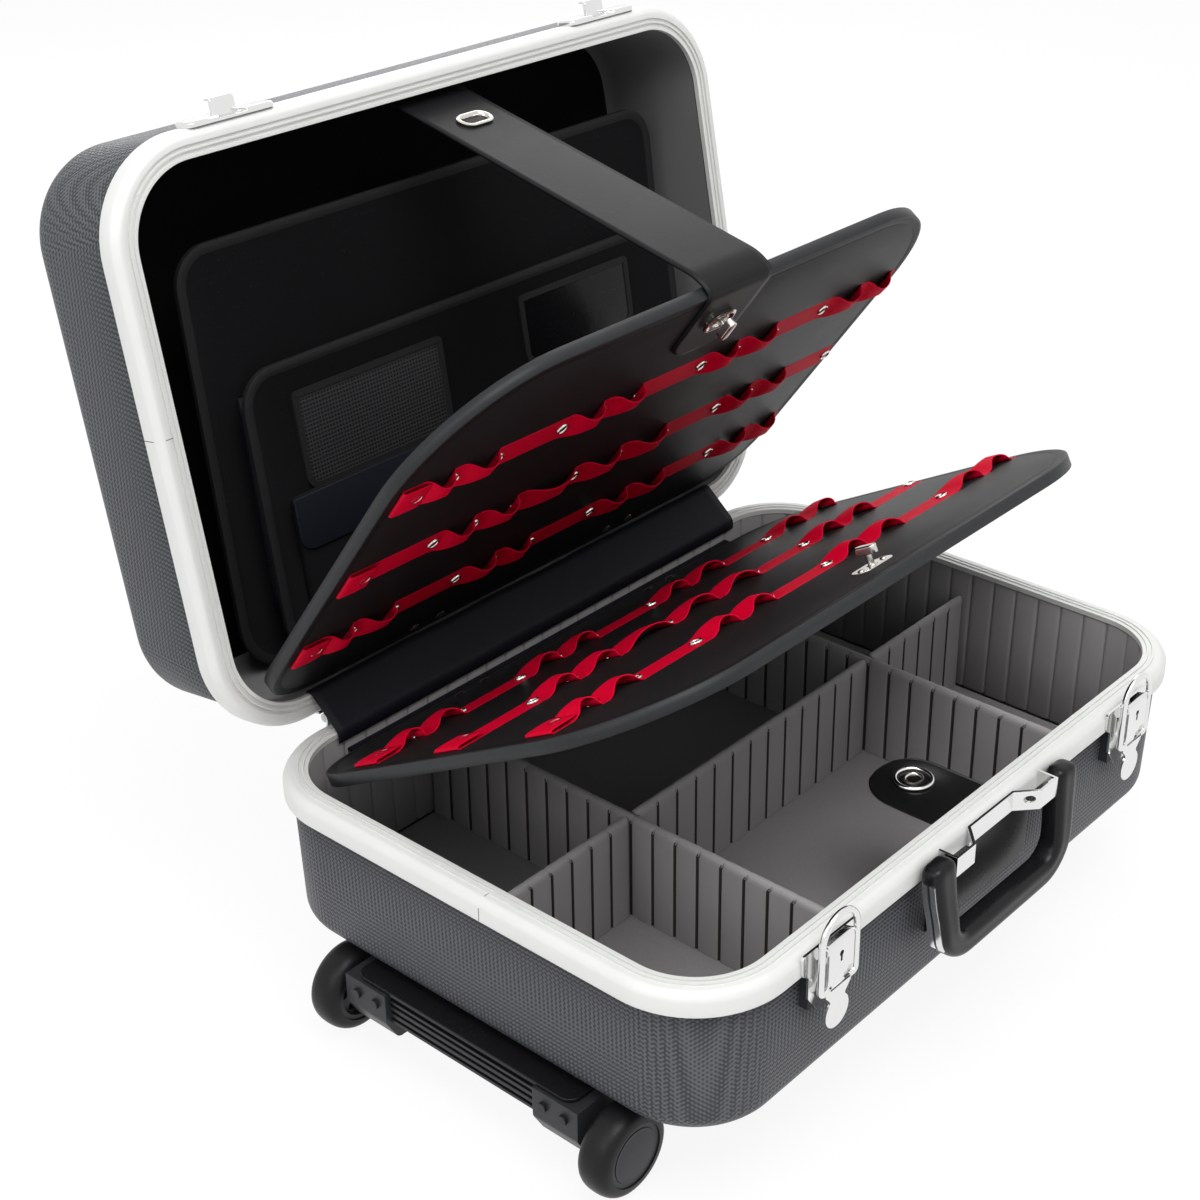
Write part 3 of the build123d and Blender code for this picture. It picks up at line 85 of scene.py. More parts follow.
@dataclass(frozen=True)
class CaseSizes:
    """Sizes that more than one sub-assembly uses, in millimetres and degrees."""

    length: float = 464.6
    width: float = 319.6
    corner: float = 44.0
    base_depth: float = 98.4
    lid_depth: float = 94.4
    base_slope: float = math.degrees(math.atan2(2.8, 98.4))
    lid_slope: float = math.degrees(math.atan2(2.0, 94.4))
    part_gap: float = 0.6
    band_out: float = 15.0
    band_height: float = 14.4
    shell_out: float = 10.05
    lining_in: float = 0.3
    hinge_y: float = 178.0
    lid_open: float = 100.5
    board_height: float = 302.0
    board_wall: float = 7.0
    lower_board_y: float = 150.0
    lock_place: float = 273.5

    @property
    def front_y(self) -> float:
        """Y of the front face of the rim."""
        return -(self.width / 2 + self.band_out)


SIZES = CaseSizes()


def turn_x(angle: float) -> Matrix:
    """Turn about X by an angle in degrees."""
    return Matrix.Rotation(math.radians(angle), 4, "X")


def turn_y(angle: float) -> Matrix:
    """Turn about Y by an angle in degrees."""
    return Matrix.Rotation(math.radians(angle), 4, "Y")


def turn_z(angle: float) -> Matrix:
    """Turn about Z by an angle in degrees."""
    return Matrix.Rotation(math.radians(angle), 4, "Z")


def move(x: float, y: float, z: float) -> Matrix:
    """Move by a vector in millimetres."""
    return Matrix.Translation((x, y, z))


def case_place() -> Matrix:
    """Place of the closed case's axes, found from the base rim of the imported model."""
    low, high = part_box("base_rim")
    origin = Vector(((low.x + high.x) / 2, (low.y + high.y) / 2, low.z + SIZES.band_height * 0.001))
    return Matrix.Translation(origin) @ Matrix.Scale(0.001, 4)


CASE = case_place()
HINGE = move(0, SIZES.hinge_y, SIZES.part_gap)
LID = CASE @ HINGE @ turn_x(-SIZES.lid_open) @ HINGE.inverted()
LID_HALF = LID @ move(0, 0, SIZES.part_gap)
LOWER_BOARD = CASE @ move(0, SIZES.lower_board_y, -14) @ turn_x(-29)
UPPER_BOARD = LID @ move(0, 154.65, 9) @ turn_x(46.6) @ Matrix.Scale(-1, 4, (0, 0, 1))


# Mesh tools


def new_edges(bm: bmesh.types.BMesh, points: Sequence[Vector], closed: bool) -> list[bmesh.types.BMEdge]:
    """Chain of edges through the points.

    Args:
        bm: Mesh to add to.
        points: Points in order.
        closed: True to join the last point to the first.

    Returns:
        The new edges in order.
    """
    verts = [bm.verts.new(p) for p in points]
    pairs = list(zip(verts, verts[1:]))
    if closed:
        pairs.append((verts[-1], verts[0]))
    return [bm.edges.new(pair) for pair in pairs]


def sweep(
    bm: bmesh.types.BMesh, section: Sequence[Vector], places: Sequence[Matrix], closed_section: bool = False
) -> tuple[list[bmesh.types.BMEdge], list[bmesh.types.BMEdge]]:
    """Extrude a section step by step through a row of places.

    Args:
        bm: Mesh to add to.
        section: Points of the section in its own axes.
        places: Place of the section at each step.
        closed_section: True where the section is a loop.

    Returns:
        The first and the last row of edges.
    """
    first = new_edges(bm, [places[0] @ p for p in section], closed_section)
    row = first
    for before, after in zip(places, places[1:]):
        made = bmesh.ops.extrude_edge_only(bm, edges=row)["geom"]
        verts = [g for g in made if isinstance(g, bmesh.types.BMVert)]
        row = [g for g in made if isinstance(g, bmesh.types.BMEdge) and all(v in verts for v in g.verts)]
        bmesh.ops.transform(bm, matrix=after @ before.inverted(), verts=verts)
    return first, row


def ring_places(
    half_x: float,
    half_y: float,
    radii: Sequence[float],
    steps: int = 12,
    pitch: float = 0.0,
    groove: Sequence[tuple[float, float]] = ((0.0, 0.0),),
) -> list[Matrix]:
    """Places round a rounded rectangle, X pointing outward, starting on the +X side and closed.

    Args:
        half_x: Half the length.
        half_y: Half the width.
        radii: Corner radii at (+X +Y), (-X +Y), (-X -Y), (+X -Y).
        steps: Steps in each corner.
        pitch: Distance between groups of places along the path, or 0 for corners alone.
        groove: Places in each group, as (shift along the path, shift outward).

    Returns:
        The places in order, the last equal to the first.
    """
    signs = ((1, 1), (-1, 1), (-1, -1), (1, -1))
    marks: list[tuple[float, Vector, float]] = []
    travelled = 0.0
    previous = Vector((half_x, -half_y + radii[3]))
    for index, ((sx, sy), radius) in enumerate(zip(signs, radii)):
        centre = Vector((sx * (half_x - radius), sy * (half_y - radius)))
        angle = 90.0 * index
        begin = centre + radius * Vector((math.cos(math.radians(angle)), math.sin(math.radians(angle))))
        marks.append((travelled, previous.copy(), angle))
        travelled += (begin - previous).length
        for step in range(steps + 1):
            a = math.radians(angle + 90 * step / steps)
            point = centre + radius * Vector((math.cos(a), math.sin(a)))
            if step:
                travelled += radius * math.pi / 2 / steps
            marks.append((travelled, point, math.degrees(a)))
        previous = marks[-1][1]
    end = Vector((half_x, -half_y + radii[3]))
    travelled += (end - previous).length
    marks.append((travelled, end, 360.0))

    def at(distance: float, out: float) -> Matrix:
        """Place on the ring.

        Args:
            distance: Distance along the ring from its start.
            out: Shift outward.

        Returns:
            The place.
        """
        distance %= travelled
        for (d0, p0, a0), (d1, p1, a1) in zip(marks, marks[1:]):
            if d0 <= distance <= d1 and d1 > d0:
                t = (distance - d0) / (d1 - d0)
                p = p0.lerp(p1, t)
                a = a0 + (a1 - a0) * t
                return move(p.x, p.y, 0) @ turn_z(a) @ move(out, 0, 0)
        return move(marks[0][1].x, marks[0][1].y, 0) @ move(out, 0, 0)

    if not pitch:
        return [move(p.x, p.y, 0) @ turn_z(a) for _, p, a in marks]
    count = round(travelled / pitch)
    places = [at(travelled * (i / count) + ds, out) for i in range(count) for ds, out in groove]
    return places + [places[0]]


def arc(cx: float, cz: float, radius: float, start: float, end: float, steps: int) -> list[Vector]:
    """Points of an arc in the XZ plane.

    Args:
        cx: X of the centre.
        cz: Z of the centre.
        radius: Radius.
        start: First angle in degrees.
        end: Last angle in degrees.
        steps: Steps between them.

    Returns:
        The points, one more than the steps.
    """
    angles = [math.radians(start + (end - start) * i / steps) for i in range(steps + 1)]
    return [Vector((cx + radius * math.cos(a), 0, cz + radius * math.sin(a))) for a in angles]


def rounded_path(points: Sequence[tuple[float, float]], radius: float, steps: int = 6) -> list[Vector]:
    """Path in the YZ plane with rounded turns.

    Args:
        points: Corner points as (Y, Z).
        radius: Reach of each turn along its sides.
        steps: Steps in each turn.

    Returns:
        The points of the path.
    """
    out = [Vector((0, *points[0]))]
    for before, here, after in zip(points, points[1:], points[2:]):
        p, a, b = Vector((0, *here)), Vector((0, *before)), Vector((0, *after))
        reach = min(radius, (a - p).length * 0.45, (b - p).length * 0.45)
        start, end = p + (a - p).normalized() * reach, p + (b - p).normalized() * reach
        for i in range(steps + 1):
            t = i / steps
            out.append(start.lerp(p, t).lerp(p.lerp(end, t), t))
    out.append(Vector((0, *points[-1])))
    return out


def resample(points: Sequence[Vector], pitch: float) -> list[Vector]:
    """Points at an even distance along a chain.

    Args:
        points: Points of the chain.
        pitch: Distance wanted between points.

    Returns:
        The new points, both ends kept.
    """
    lengths = [(b - a).length for a, b in zip(points, points[1:])]
    total = sum(lengths)
    count = max(2, round(total / pitch))
    out = []
    for i in range(count + 1):
        left = total * i / count
        for a, b, length in zip(points, points[1:], lengths):
            if left <= length or b is points[-1]:
                out.append(a.lerp(b, min(1.0, left / max(length, 1e-9))))
                break
            left -= length
    return out


def strip_places(path: Sequence[Vector]) -> list[Matrix]:
    """Places along a path in the YZ plane.

    Args:
        path: Points of the path.

    Returns:
        A place at each point: X across, Y along the path, Z off its face.
    """
    places = []
    for i, p in enumerate(path):
        a, b = path[max(i - 1, 0)], path[min(i + 1, len(path) - 1)]
        places.append(move(*p) @ turn_x(math.degrees(math.atan2(b.z - a.z, b.y - a.y))))
    return places


def slab(
    bm: bmesh.types.BMesh,
    size: tuple[float, float, float],
    middle: tuple[float, float, float],
    corners: dict[tuple[int, int], float],
    edge: float,
    steps: int = 12,
) -> None:
    """Flat slab with its own radius at each upright corner and softened edges.

    Args:
        bm: Mesh to add to, empty before the call.
        size: Length, width and thickness.
        middle: Middle of the slab.
        corners: Radius of the corner at each (x sign, y sign).
        edge: Radius of the top and bottom edges.
        steps: Segments in each corner.
    """
    bmesh.ops.create_cube(bm, size=1.0, matrix=move(*middle) @ Matrix.Diagonal((*size, 1.0)))
    for (sx, sy), radius in corners.items():
        x, y = middle[0] + sx * size[0] / 2, middle[1] + sy * size[1] / 2
        upright = [e for e in bm.edges if all(abs(v.co.x - x) < 1e-4 and abs(v.co.y - y) < 1e-4 for v in e.verts)]
        bmesh.ops.bevel(
            bm, geom=upright, offset=radius, affect="EDGES", segments=steps, profile=0.5, material=-1,
            clamp_overlap=False,
        )
    if edge:
        flat = [e for e in bm.edges if abs(e.verts[0].co.z - e.verts[1].co.z) < 1e-5]
        bmesh.ops.bevel(bm, geom=flat, offset=edge, affect="EDGES", segments=3, profile=0.5, material=-1)


def loft_rod(bm: bmesh.types.BMesh, radius: float, places: Sequence[Matrix], sides: int) -> None:
    """Round rod with flat ends.

    Args:
        bm: Mesh to add to.
        radius: Radius of the rod.
        places: Stations whose Y points along the rod.
        sides: Sides of the section.
    """
    circle = [
        Vector((radius * math.cos(2 * math.pi * i / sides), 0, radius * math.sin(2 * math.pi * i / sides)))
        for i in range(sides)
    ]
    first, last = sweep(bm, circle, places, closed_section=True)
    bmesh.ops.holes_fill(bm, edges=first + last)


def turned(bm: bmesh.types.BMesh, outline: Sequence[tuple[float, float]], steps: int, closed: bool = True) -> None:
    """Shape turned about the Y axis.

    Args:
        bm: Mesh to add to.
        outline: Points of the outline as (radius, y).
        steps: Steps in the full turn.
        closed: True where the outline is a loop.
    """
    edges = new_edges(bm, [Vector((r, y, 0)) for r, y in outline], closed)
    verts = list({v for e in edges for v in e.verts})
    bmesh.ops.spin(
        bm, geom=verts + edges, cent=(0, 0, 0), axis=(0, 1, 0), angle=2 * math.pi, steps=steps, use_merge=True,
    )
    bmesh.ops.remove_doubles(bm, verts=bm.verts, dist=1e-4)


def stamped(one: bmesh.types.BMesh, places: Sequence[Matrix]) -> bmesh.types.BMesh:
    """Copies of one shape.

    Args:
        one: Shape to copy, which is freed.
        places: Place of each copy.

    Returns:
        A mesh of all the copies.
    """
    source = bpy.data.meshes.new("stamp")
    one.to_mesh(source)
    one.free()
    out = bmesh.new()
    for place in places:
        before = len(out.verts)
        out.from_mesh(source)
        out.verts.ensure_lookup_table()
        bmesh.ops.transform(out, matrix=place, verts=out.verts[before:])
    bpy.data.meshes.remove(source)
    return out


def make_piece(
    bm: bmesh.types.BMesh,
    name: str,
    place: Matrix,
    finish: "Finish",
    body: str,
    *,
    replaces: Sequence[str] = (),
    closed: bool = True,
    crease: float = 38.0,
    wall: float = 0.0,
    soften: float = 0.0,
    extra: Sequence["Finish"] = (),
    ride: bool = True,
) -> bpy.types.Object:
    """Turn a mesh drawn in millimetres into a finished piece.

    Args:
        bm: Mesh, which is freed.
        name: Name of the piece.
        place: Carries the drawing to its place in metres.
        finish: Its finish.
        body: Moving body it belongs to.
        replaces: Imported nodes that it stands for.
        closed: True where the mesh is a closed skin, so that its normals are recalculated.
        crease: Edges sharper than this stay sharp.
        wall: Thickness in millimetres given to an open skin, inward.
        soften: Width in millimetres of a live bevel on sharp edges.
        extra: Further finishes, for faces with a higher material index.
        ride: False where the piece is blended between two bodies instead.

    Returns:
        The finished object.
    """
    bmesh.ops.remove_doubles(bm, verts=bm.verts, dist=1e-3)
    if closed:
        bmesh.ops.recalc_face_normals(bm, faces=bm.faces)
    bm.transform(place)
    if place.determinant() < 0:
        bmesh.ops.reverse_faces(bm, faces=bm.faces)
    mesh = bpy.data.meshes.new(name)
    bm.to_mesh(mesh)
    bm.free()
    mesh.polygons.foreach_set("use_smooth", [True] * len(mesh.polygons))
    mesh.set_sharp_from_angle(angle=math.radians(crease))
    for item in (finish, *extra):
        mesh.materials.append(item.material())
    piece = bpy.data.objects.new(name, mesh)
    bpy.context.scene.collection.objects.link(piece)
    if wall:
        thicken = piece.modifiers.new("wall", "SOLIDIFY")
        thicken.thickness = wall * 0.001
        thicken.offset = -1.0
    if soften:
        bevel = piece.modifiers.new("soft edges", "BEVEL")
        bevel.width = soften * 0.001
        bevel.segments = 2
        bevel.limit_method = "ANGLE"
        bevel.angle_limit = math.radians(crease)
        bevel.harden_normals = True
    if replaces:
        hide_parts(*replaces)
    if ride:
        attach(piece, body)
    LOG.info("%s: %d faces on %s", name, len(mesh.polygons), body)
    return piece


def dressed_node(node: str, body: str, finish: "Finish", soften: float = 0.0) -> bpy.types.Object:
    """Smooth-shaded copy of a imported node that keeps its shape.

    Args:
        node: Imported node.
        body: Moving body it belongs to.
        finish: Its finish.
        soften: Width in millimetres of a live bevel on sharp edges.

    Returns:
        The finished object.
    """
    bm = bmesh.new()
    bm.from_mesh(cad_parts[node].data)
    bmesh.ops.scale(bm, vec=(1000, 1000, 1000), verts=bm.verts)
    bmesh.ops.remove_doubles(bm, verts=bm.verts, dist=2e-3)
    bmesh.ops.dissolve_limit(bm, angle_limit=math.radians(0.6), verts=bm.verts, edges=bm.edges)
    return make_piece(
        bm, node + "_dressed", Matrix.Scale(0.001, 4), finish, body, replaces=[node], closed=False, crease=30.0,
        soften=soften,
    )


# Finishes


class Graph:
    """Adds nodes to a node tree and joins them."""

    def __init__(self, tree: bpy.types.NodeTree) -> None:
        """Work on one tree."""
        self.tree = tree

    def node(self, kind: str, inputs: dict | None = None, **settings: object) -> bpy.types.Node:
        """Add a node.

        Args:
            kind: Blender's name of the node type.
            inputs: Value or linked socket of each input, by name or number.
            settings: Properties of the node.

        Returns:
            The new node.
        """
        made = self.tree.nodes.new(kind)
        for name, value in settings.items():
            setattr(made, name, value)
        for key, value in (inputs or {}).items():
            if isinstance(value, bpy.types.NodeSocket):
                self.tree.links.new(value, made.inputs[key])
            else:
                made.inputs[key].default_value = value
        return made

    def math(self, operation: str, a: object, b: object = 0.0) -> bpy.types.NodeSocket:
        """Output of a Math node."""
        return self.node("ShaderNodeMath", {0: a, 1: b}, operation=operation).outputs[0]

    def blend_colour(self, amount: object, a: object, b: object) -> bpy.types.NodeSocket:
        """Mix of two colours.

        Args:
            amount: Share of the second colour.
            a: First colour.
            b: Second colour.

        Returns:
            The mixed colour's socket.
        """
        made = self.node("ShaderNodeMix", {"Factor": amount}, data_type="RGBA")
        for socket, value in ((made.inputs[6], a), (made.inputs[7], b)):
            if isinstance(value, bpy.types.NodeSocket):
                self.tree.links.new(value, socket)
            else:
                socket.default_value = (*value, 1.0)
        return made.outputs[2]


class Relief(Enum):
    """Surface patterns, each a node group with the same sockets."""

    MOULDED = "embossed weave"
    GRAIN = "leather grain"
    RIBS = "woven ribs"
    FELT = "felt nap"
    BRUSHED = "brushed metal"
    CAST = "fine moulding texture"
    NET = "open net"
    PLAIN = "even skin"


class Reliefs:
    """Builds each relief's node group once. The groups take Vector and Scale, and give Height and Tone."""

    made: dict[Relief, bpy.types.NodeTree] = {}

    @classmethod
    def group(cls, relief: Relief) -> bpy.types.NodeTree:
        """Node group of a relief."""
        if relief not in cls.made:
            cls.made[relief] = cls.build(relief)
        return cls.made[relief]

    @classmethod
    def build(cls, relief: Relief) -> bpy.types.NodeTree:
        """Make the node group of a relief.

        Args:
            relief: Pattern wanted.

        Returns:
            The new node group.
        """
        tree = bpy.data.node_groups.new(relief.value, "ShaderNodeTree")
        tree.interface.new_socket("Vector", in_out="INPUT", socket_type="NodeSocketVector")
        scale = tree.interface.new_socket("Scale", in_out="INPUT", socket_type="NodeSocketFloat")
        scale.default_value = 1.0
        for name in ("Height", "Tone"):
            tree.interface.new_socket(name, in_out="OUTPUT", socket_type="NodeSocketFloat")
        graph = Graph(tree)
        given = graph.node("NodeGroupInput")
        result = graph.node("NodeGroupOutput")
        scaled = graph.node(
            "ShaderNodeVectorMath", {0: given.outputs["Vector"], "Scale": given.outputs["Scale"]}, operation="SCALE"
        ).outputs[0]
        makers: dict[Relief, Callable[[Graph, bpy.types.NodeSocket], tuple]] = {
            Relief.MOULDED: cls.moulded,
            Relief.GRAIN: cls.grain,
            Relief.RIBS: cls.ribs,
            Relief.FELT: cls.felt,
            Relief.BRUSHED: cls.brushed,
            Relief.CAST: cls.cast,
            Relief.NET: cls.net,
            Relief.PLAIN: cls.plain,
        }
        height, tone = makers[relief](graph, scaled)
        tree.links.new(height, result.inputs["Height"])
        tree.links.new(tone, result.inputs["Tone"])
        return tree

    @staticmethod
    def noise(graph: Graph, vector: bpy.types.NodeSocket, scale: float, detail: float = 3.0) -> bpy.types.NodeSocket:
        """Noise value."""
        return graph.node(
            "ShaderNodeTexNoise", {"Vector": vector, "Scale": scale, "Detail": detail, "Roughness": 0.6}
        ).outputs[0]

    @classmethod
    def moulded(cls, graph: Graph, vector: bpy.types.NodeSocket) -> tuple:
        """Rows of small bumps that look alike on every side of a moulded shell, their light and shade painted into the
        tone.

        Args:
            graph: Group to add to.
            vector: Place in pitches of the pattern.

        Returns:
            The height, and a tone that follows it: painted light on the crests and painted shade between the bumps.
        """
        xyz = graph.node("ShaderNodeSeparateXYZ", {0: vector}).outputs
        waves = []
        for a, b in ((0, 1), (1, 2), (2, 0)):
            waves.append(
                graph.math(
                    "MULTIPLY",
                    graph.math("SINE", graph.math("MULTIPLY", xyz[a], math.tau)),
                    graph.math("COSINE", graph.math("MULTIPLY", xyz[b], math.tau)),
                )
            )
        height = graph.math("ADD", graph.math("ADD", waves[0], waves[1]), waves[2])
        # Painted light and shade: the colour is lighter on the bumps' crests and darker in their hollows.
        painted_bump_light = graph.node("ShaderNodeMapRange", {0: height, 1: -0.9, 2: 0.9, 3: 0.0, 4: 0.9}).outputs[0]
        return height, graph.math("ADD", painted_bump_light, graph.math("MULTIPLY", cls.noise(graph, vector, 0.02, 4.0), 0.2))

    @classmethod
    def grain(cls, graph: Graph, vector: bpy.types.NodeSocket) -> tuple:
        """Pebbled leather cells with fine creases.

        Args:
            graph: Group to add to.
            vector: Place in pitches of the pattern.

        Returns:
            The height and tone sockets.
        """
        warped = graph.node(
            "ShaderNodeTexVoronoi", {"Vector": vector, "Scale": 1.0, "Randomness": 0.9}, feature="DISTANCE_TO_EDGE"
        ).outputs[0]
        cells = graph.math("MINIMUM", graph.math("MULTIPLY", warped, 4.0), 1.0)
        return graph.math("ADD", cells, graph.math("MULTIPLY", cls.noise(graph, vector, 2.5), 0.5)), cls.noise(
            graph, vector, 0.05
        )

    @classmethod
    def ribs(cls, graph: Graph, vector: bpy.types.NodeSocket) -> tuple:
        """Cross ribs of a woven tape.

        Args:
            graph: Group to add to.
            vector: Place in pitches of the pattern.

        Returns:
            The height and tone sockets.
        """
        wave = graph.node(
            "ShaderNodeTexWave", {"Vector": vector, "Scale": 0.3, "Distortion": 0.4, "Detail": 1.0},
            bands_direction="X",
        ).outputs["Fac"]
        fine = graph.node(
            "ShaderNodeTexWave", {"Vector": vector, "Scale": 0.45, "Distortion": 0.3}, bands_direction="Y"
        ).outputs["Fac"]
        return graph.math("ADD", wave, graph.math("MULTIPLY", fine, 0.4)), cls.noise(graph, vector, 0.25)

    @classmethod
    def felt(cls, graph: Graph, vector: bpy.types.NodeSocket) -> tuple:
        """Short tangled nap."""
        return cls.noise(graph, vector, 1.6, 6.0), cls.noise(graph, vector, 0.6, 5.0)

    @classmethod
    def brushed(cls, graph: Graph, vector: bpy.types.NodeSocket) -> tuple:
        """Long fine scratches round the case."""
        long = graph.node("ShaderNodeMapping", {"Vector": vector, "Scale": (0.04, 0.04, 3.0)}).outputs[0]
        return cls.noise(graph, long, 1.2, 5.0), cls.noise(graph, vector, 0.03)

    @classmethod
    def cast(cls, graph: Graph, vector: bpy.types.NodeSocket) -> tuple:
        """Faint spark texture of moulded plastic."""
        return cls.noise(graph, vector, 2.2, 2.0), cls.noise(graph, vector, 0.05)

    @classmethod
    def net(cls, graph: Graph, vector: bpy.types.NodeSocket) -> tuple:
        """Woven net of small square holes.

        Args:
            graph: Group to add to.
            vector: Place in pitches of the pattern.

        Returns:
            The height and tone sockets.
        """
        xyz = graph.node("ShaderNodeSeparateXYZ", {0: vector}).outputs
        across = graph.math("ABSOLUTE", graph.math("SINE", graph.math("MULTIPLY", xyz[0], math.pi)))
        along = graph.math("ABSOLUTE", graph.math("SINE", graph.math("MULTIPLY", xyz[2], math.pi)))
        hole = graph.math("MULTIPLY", across, along)
        return graph.math("SUBTRACT", 1.0, hole), graph.math("SUBTRACT", 1.0, hole)

    @classmethod
    def plain(cls, graph: Graph, vector: bpy.types.NodeSocket) -> tuple:
        """Barely uneven skin."""
        return cls.noise(graph, vector, 0.3, 2.0), cls.noise(graph, vector, 0.08)


def handling_group() -> bpy.types.NodeTree:
    """Node group of dust and handling marks, built once.

    Returns:
        The group, which takes Vector and Amount and gives Dust and Rub.
    """
    name = "handling marks"
    if name in bpy.data.node_groups:
        return bpy.data.node_groups[name]
    tree = bpy.data.node_groups.new(name, "ShaderNodeTree")
    tree.interface.new_socket("Vector", in_out="INPUT", socket_type="NodeSocketVector")
    tree.interface.new_socket("Amount", in_out="INPUT", socket_type="NodeSocketFloat")
    for output in ("Dust", "Rub"):
        tree.interface.new_socket(output, in_out="OUTPUT", socket_type="NodeSocketFloat")
    graph = Graph(tree)
    given = graph.node("NodeGroupInput")
    result = graph.node("NodeGroupOutput")
    specks = graph.node(
        "ShaderNodeTexNoise", {"Vector": given.outputs["Vector"], "Scale": 900.0, "Detail": 2.0}
    ).outputs[0]
    patches = graph.node(
        "ShaderNodeTexNoise", {"Vector": given.outputs["Vector"], "Scale": 14.0, "Detail": 5.0}
    ).outputs[0]
    fine = graph.node("ShaderNodeMapRange", {0: specks, 1: 0.66, 2: 0.74}).outputs[0]
    broad = graph.node("ShaderNodeMapRange", {0: patches, 1: 0.35, 2: 0.75}).outputs[0]
    dust = graph.math("MULTIPLY", graph.math("MULTIPLY", fine, broad), given.outputs["Amount"])
    tree.links.new(dust, result.inputs[0])
    tree.links.new(graph.math("MULTIPLY", broad, given.outputs["Amount"]), result.inputs[1])
    return tree


DUST_COLOUR: Colour = (0.45, 0.43, 0.4)


@dataclass(frozen=True)
class Finish:
    """One material: its colours, gloss and surface pattern, with the pitch and bump in millimetres."""

    name: str
    slot: str
    colour: Colour
    shade: Colour
    roughness: float
    relief: Relief
    pitch: float
    bump: float
    metallic: float = 0.0
    dust: float = 0.3
    sheen: float = 0.0
    specular: float = 0.5

    def material(self) -> bpy.types.Material:
        """Material of this finish, made on first use.

        Returns:
            The material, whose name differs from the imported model's own materials.
        """
        label = self.name + "_finish"
        if label in bpy.data.materials:
            return bpy.data.materials[label]
        made = bpy.data.materials.new(label)
        made.use_nodes = True
        made.node_tree.nodes.clear()
        graph = Graph(made.node_tree)
        coords = graph.node("ShaderNodeTexCoord").outputs["Object"]
        relief = graph.node("ShaderNodeGroup", node_tree=Reliefs.group(self.relief))
        made.node_tree.links.new(coords, relief.inputs["Vector"])
        relief.inputs["Scale"].default_value = 1000.0 / self.pitch
        marks = graph.node("ShaderNodeGroup", node_tree=handling_group())
        made.node_tree.links.new(coords, marks.inputs["Vector"])
        marks.inputs["Amount"].default_value = self.dust
        # Tone picks between shade and colour; on the moulded shell it is the painted light and shade of the bumps.
        mixed = graph.blend_colour(relief.outputs["Tone"], self.shade, self.colour)
        dusty = graph.blend_colour(graph.math("MULTIPLY", marks.outputs["Dust"], 0.25), mixed, DUST_COLOUR)
        rough = graph.math("ADD", self.roughness - 0.03, graph.math("MULTIPLY", marks.outputs["Rub"], 0.12))
        rough = graph.math("ADD", rough, graph.math("MULTIPLY", relief.outputs["Tone"], 0.06))
        bump = graph.node(
            "ShaderNodeBump", {"Height": relief.outputs["Height"], "Strength": 1.0, "Distance": self.bump * 0.001}
        ).outputs[0]
        shader = graph.node(
            "ShaderNodeBsdfPrincipled",
            {
                "Base Color": dusty,
                "Roughness": rough,
                "Metallic": self.metallic,
                "Normal": bump,
                "Sheen Weight": self.sheen,
                "Specular IOR Level": self.specular,
            },
        )
        graph.node("ShaderNodeOutputMaterial", {"Surface": shader.outputs[0]})
        return made


# Colour and shade here are the lit crests and shaded hollows of the embossed bumps, painted into the colour.
MOULDED_SHELL = Finish(
    "moulded_shell", "moulded_shell", (0.09, 0.093, 0.103), (0.02, 0.021, 0.025), 0.4, Relief.MOULDED, 3.0, 0.15,
    specular=0.3
)
ANODISED = Finish(
    "anodised_rim", "anodised_rim", (0.68, 0.685, 0.67), (0.63, 0.635, 0.62), 0.5, Relief.BRUSHED, 1.0, 0.002,
    metallic=0.1, dust=0.05, specular=0.4,
)
GREY_PAD = Finish(
    "grey_pad", "grey_pad", (0.3, 0.288, 0.289), (0.26, 0.25, 0.25), 0.62, Relief.CAST, 0.9, 0.03, sheen=0.05,
    specular=0.25,
)
# Painted shade: the dark colour at the bottom of each pad groove stands for the shade in the crease.
GROOVE_SHADE = Finish(
    "painted_groove_shade", "grey_pad", (0.05, 0.043, 0.04), (0.03, 0.027, 0.026), 0.9, Relief.FELT, 0.8, 0.05, specular=0.1
)
GREY_FELT = Finish(
    "grey_felt", "grey_felt", (0.235, 0.226, 0.226), (0.19, 0.182, 0.182), 0.95, Relief.FELT, 1.0, 0.22, sheen=0.1,
    specular=0.1,
)
VELOUR = Finish(
    "lid_velour", "lid_velour", (0.15, 0.146, 0.148), (0.125, 0.122, 0.124), 0.92, Relief.FELT, 0.8, 0.1, sheen=0.15,
    specular=0.1,
)
# Painted shade: near black for the shaded back wall inside the lid.
LID_BACK_SHADE = Finish(
    "lid_back_painted_shade", "black_vinyl", (0.006, 0.006, 0.007), (0.004, 0.004, 0.005), 0.9, Relief.FELT, 0.9, 0.1,
    specular=0.06,
)
DARK_CLOTH = Finish(
    "dark_cloth", "black_vinyl", (0.0075, 0.0075, 0.0085), (0.005, 0.005, 0.006), 0.85, Relief.FELT, 0.9, 0.12,
    specular=0.1,
)
GUSSET_CLOTH = Finish(
    "gusset_cloth", "black_vinyl", (0.007, 0.008, 0.014), (0.005, 0.006, 0.01), 0.6, Relief.RIBS, 1.0, 0.04,
    specular=0.18,
)
LEATHERETTE = Finish(
    "leatherette", "black_vinyl", (0.011, 0.0105, 0.011), (0.0075, 0.0075, 0.008), 0.46, Relief.GRAIN, 1.1, 0.06,
    specular=0.13,
)
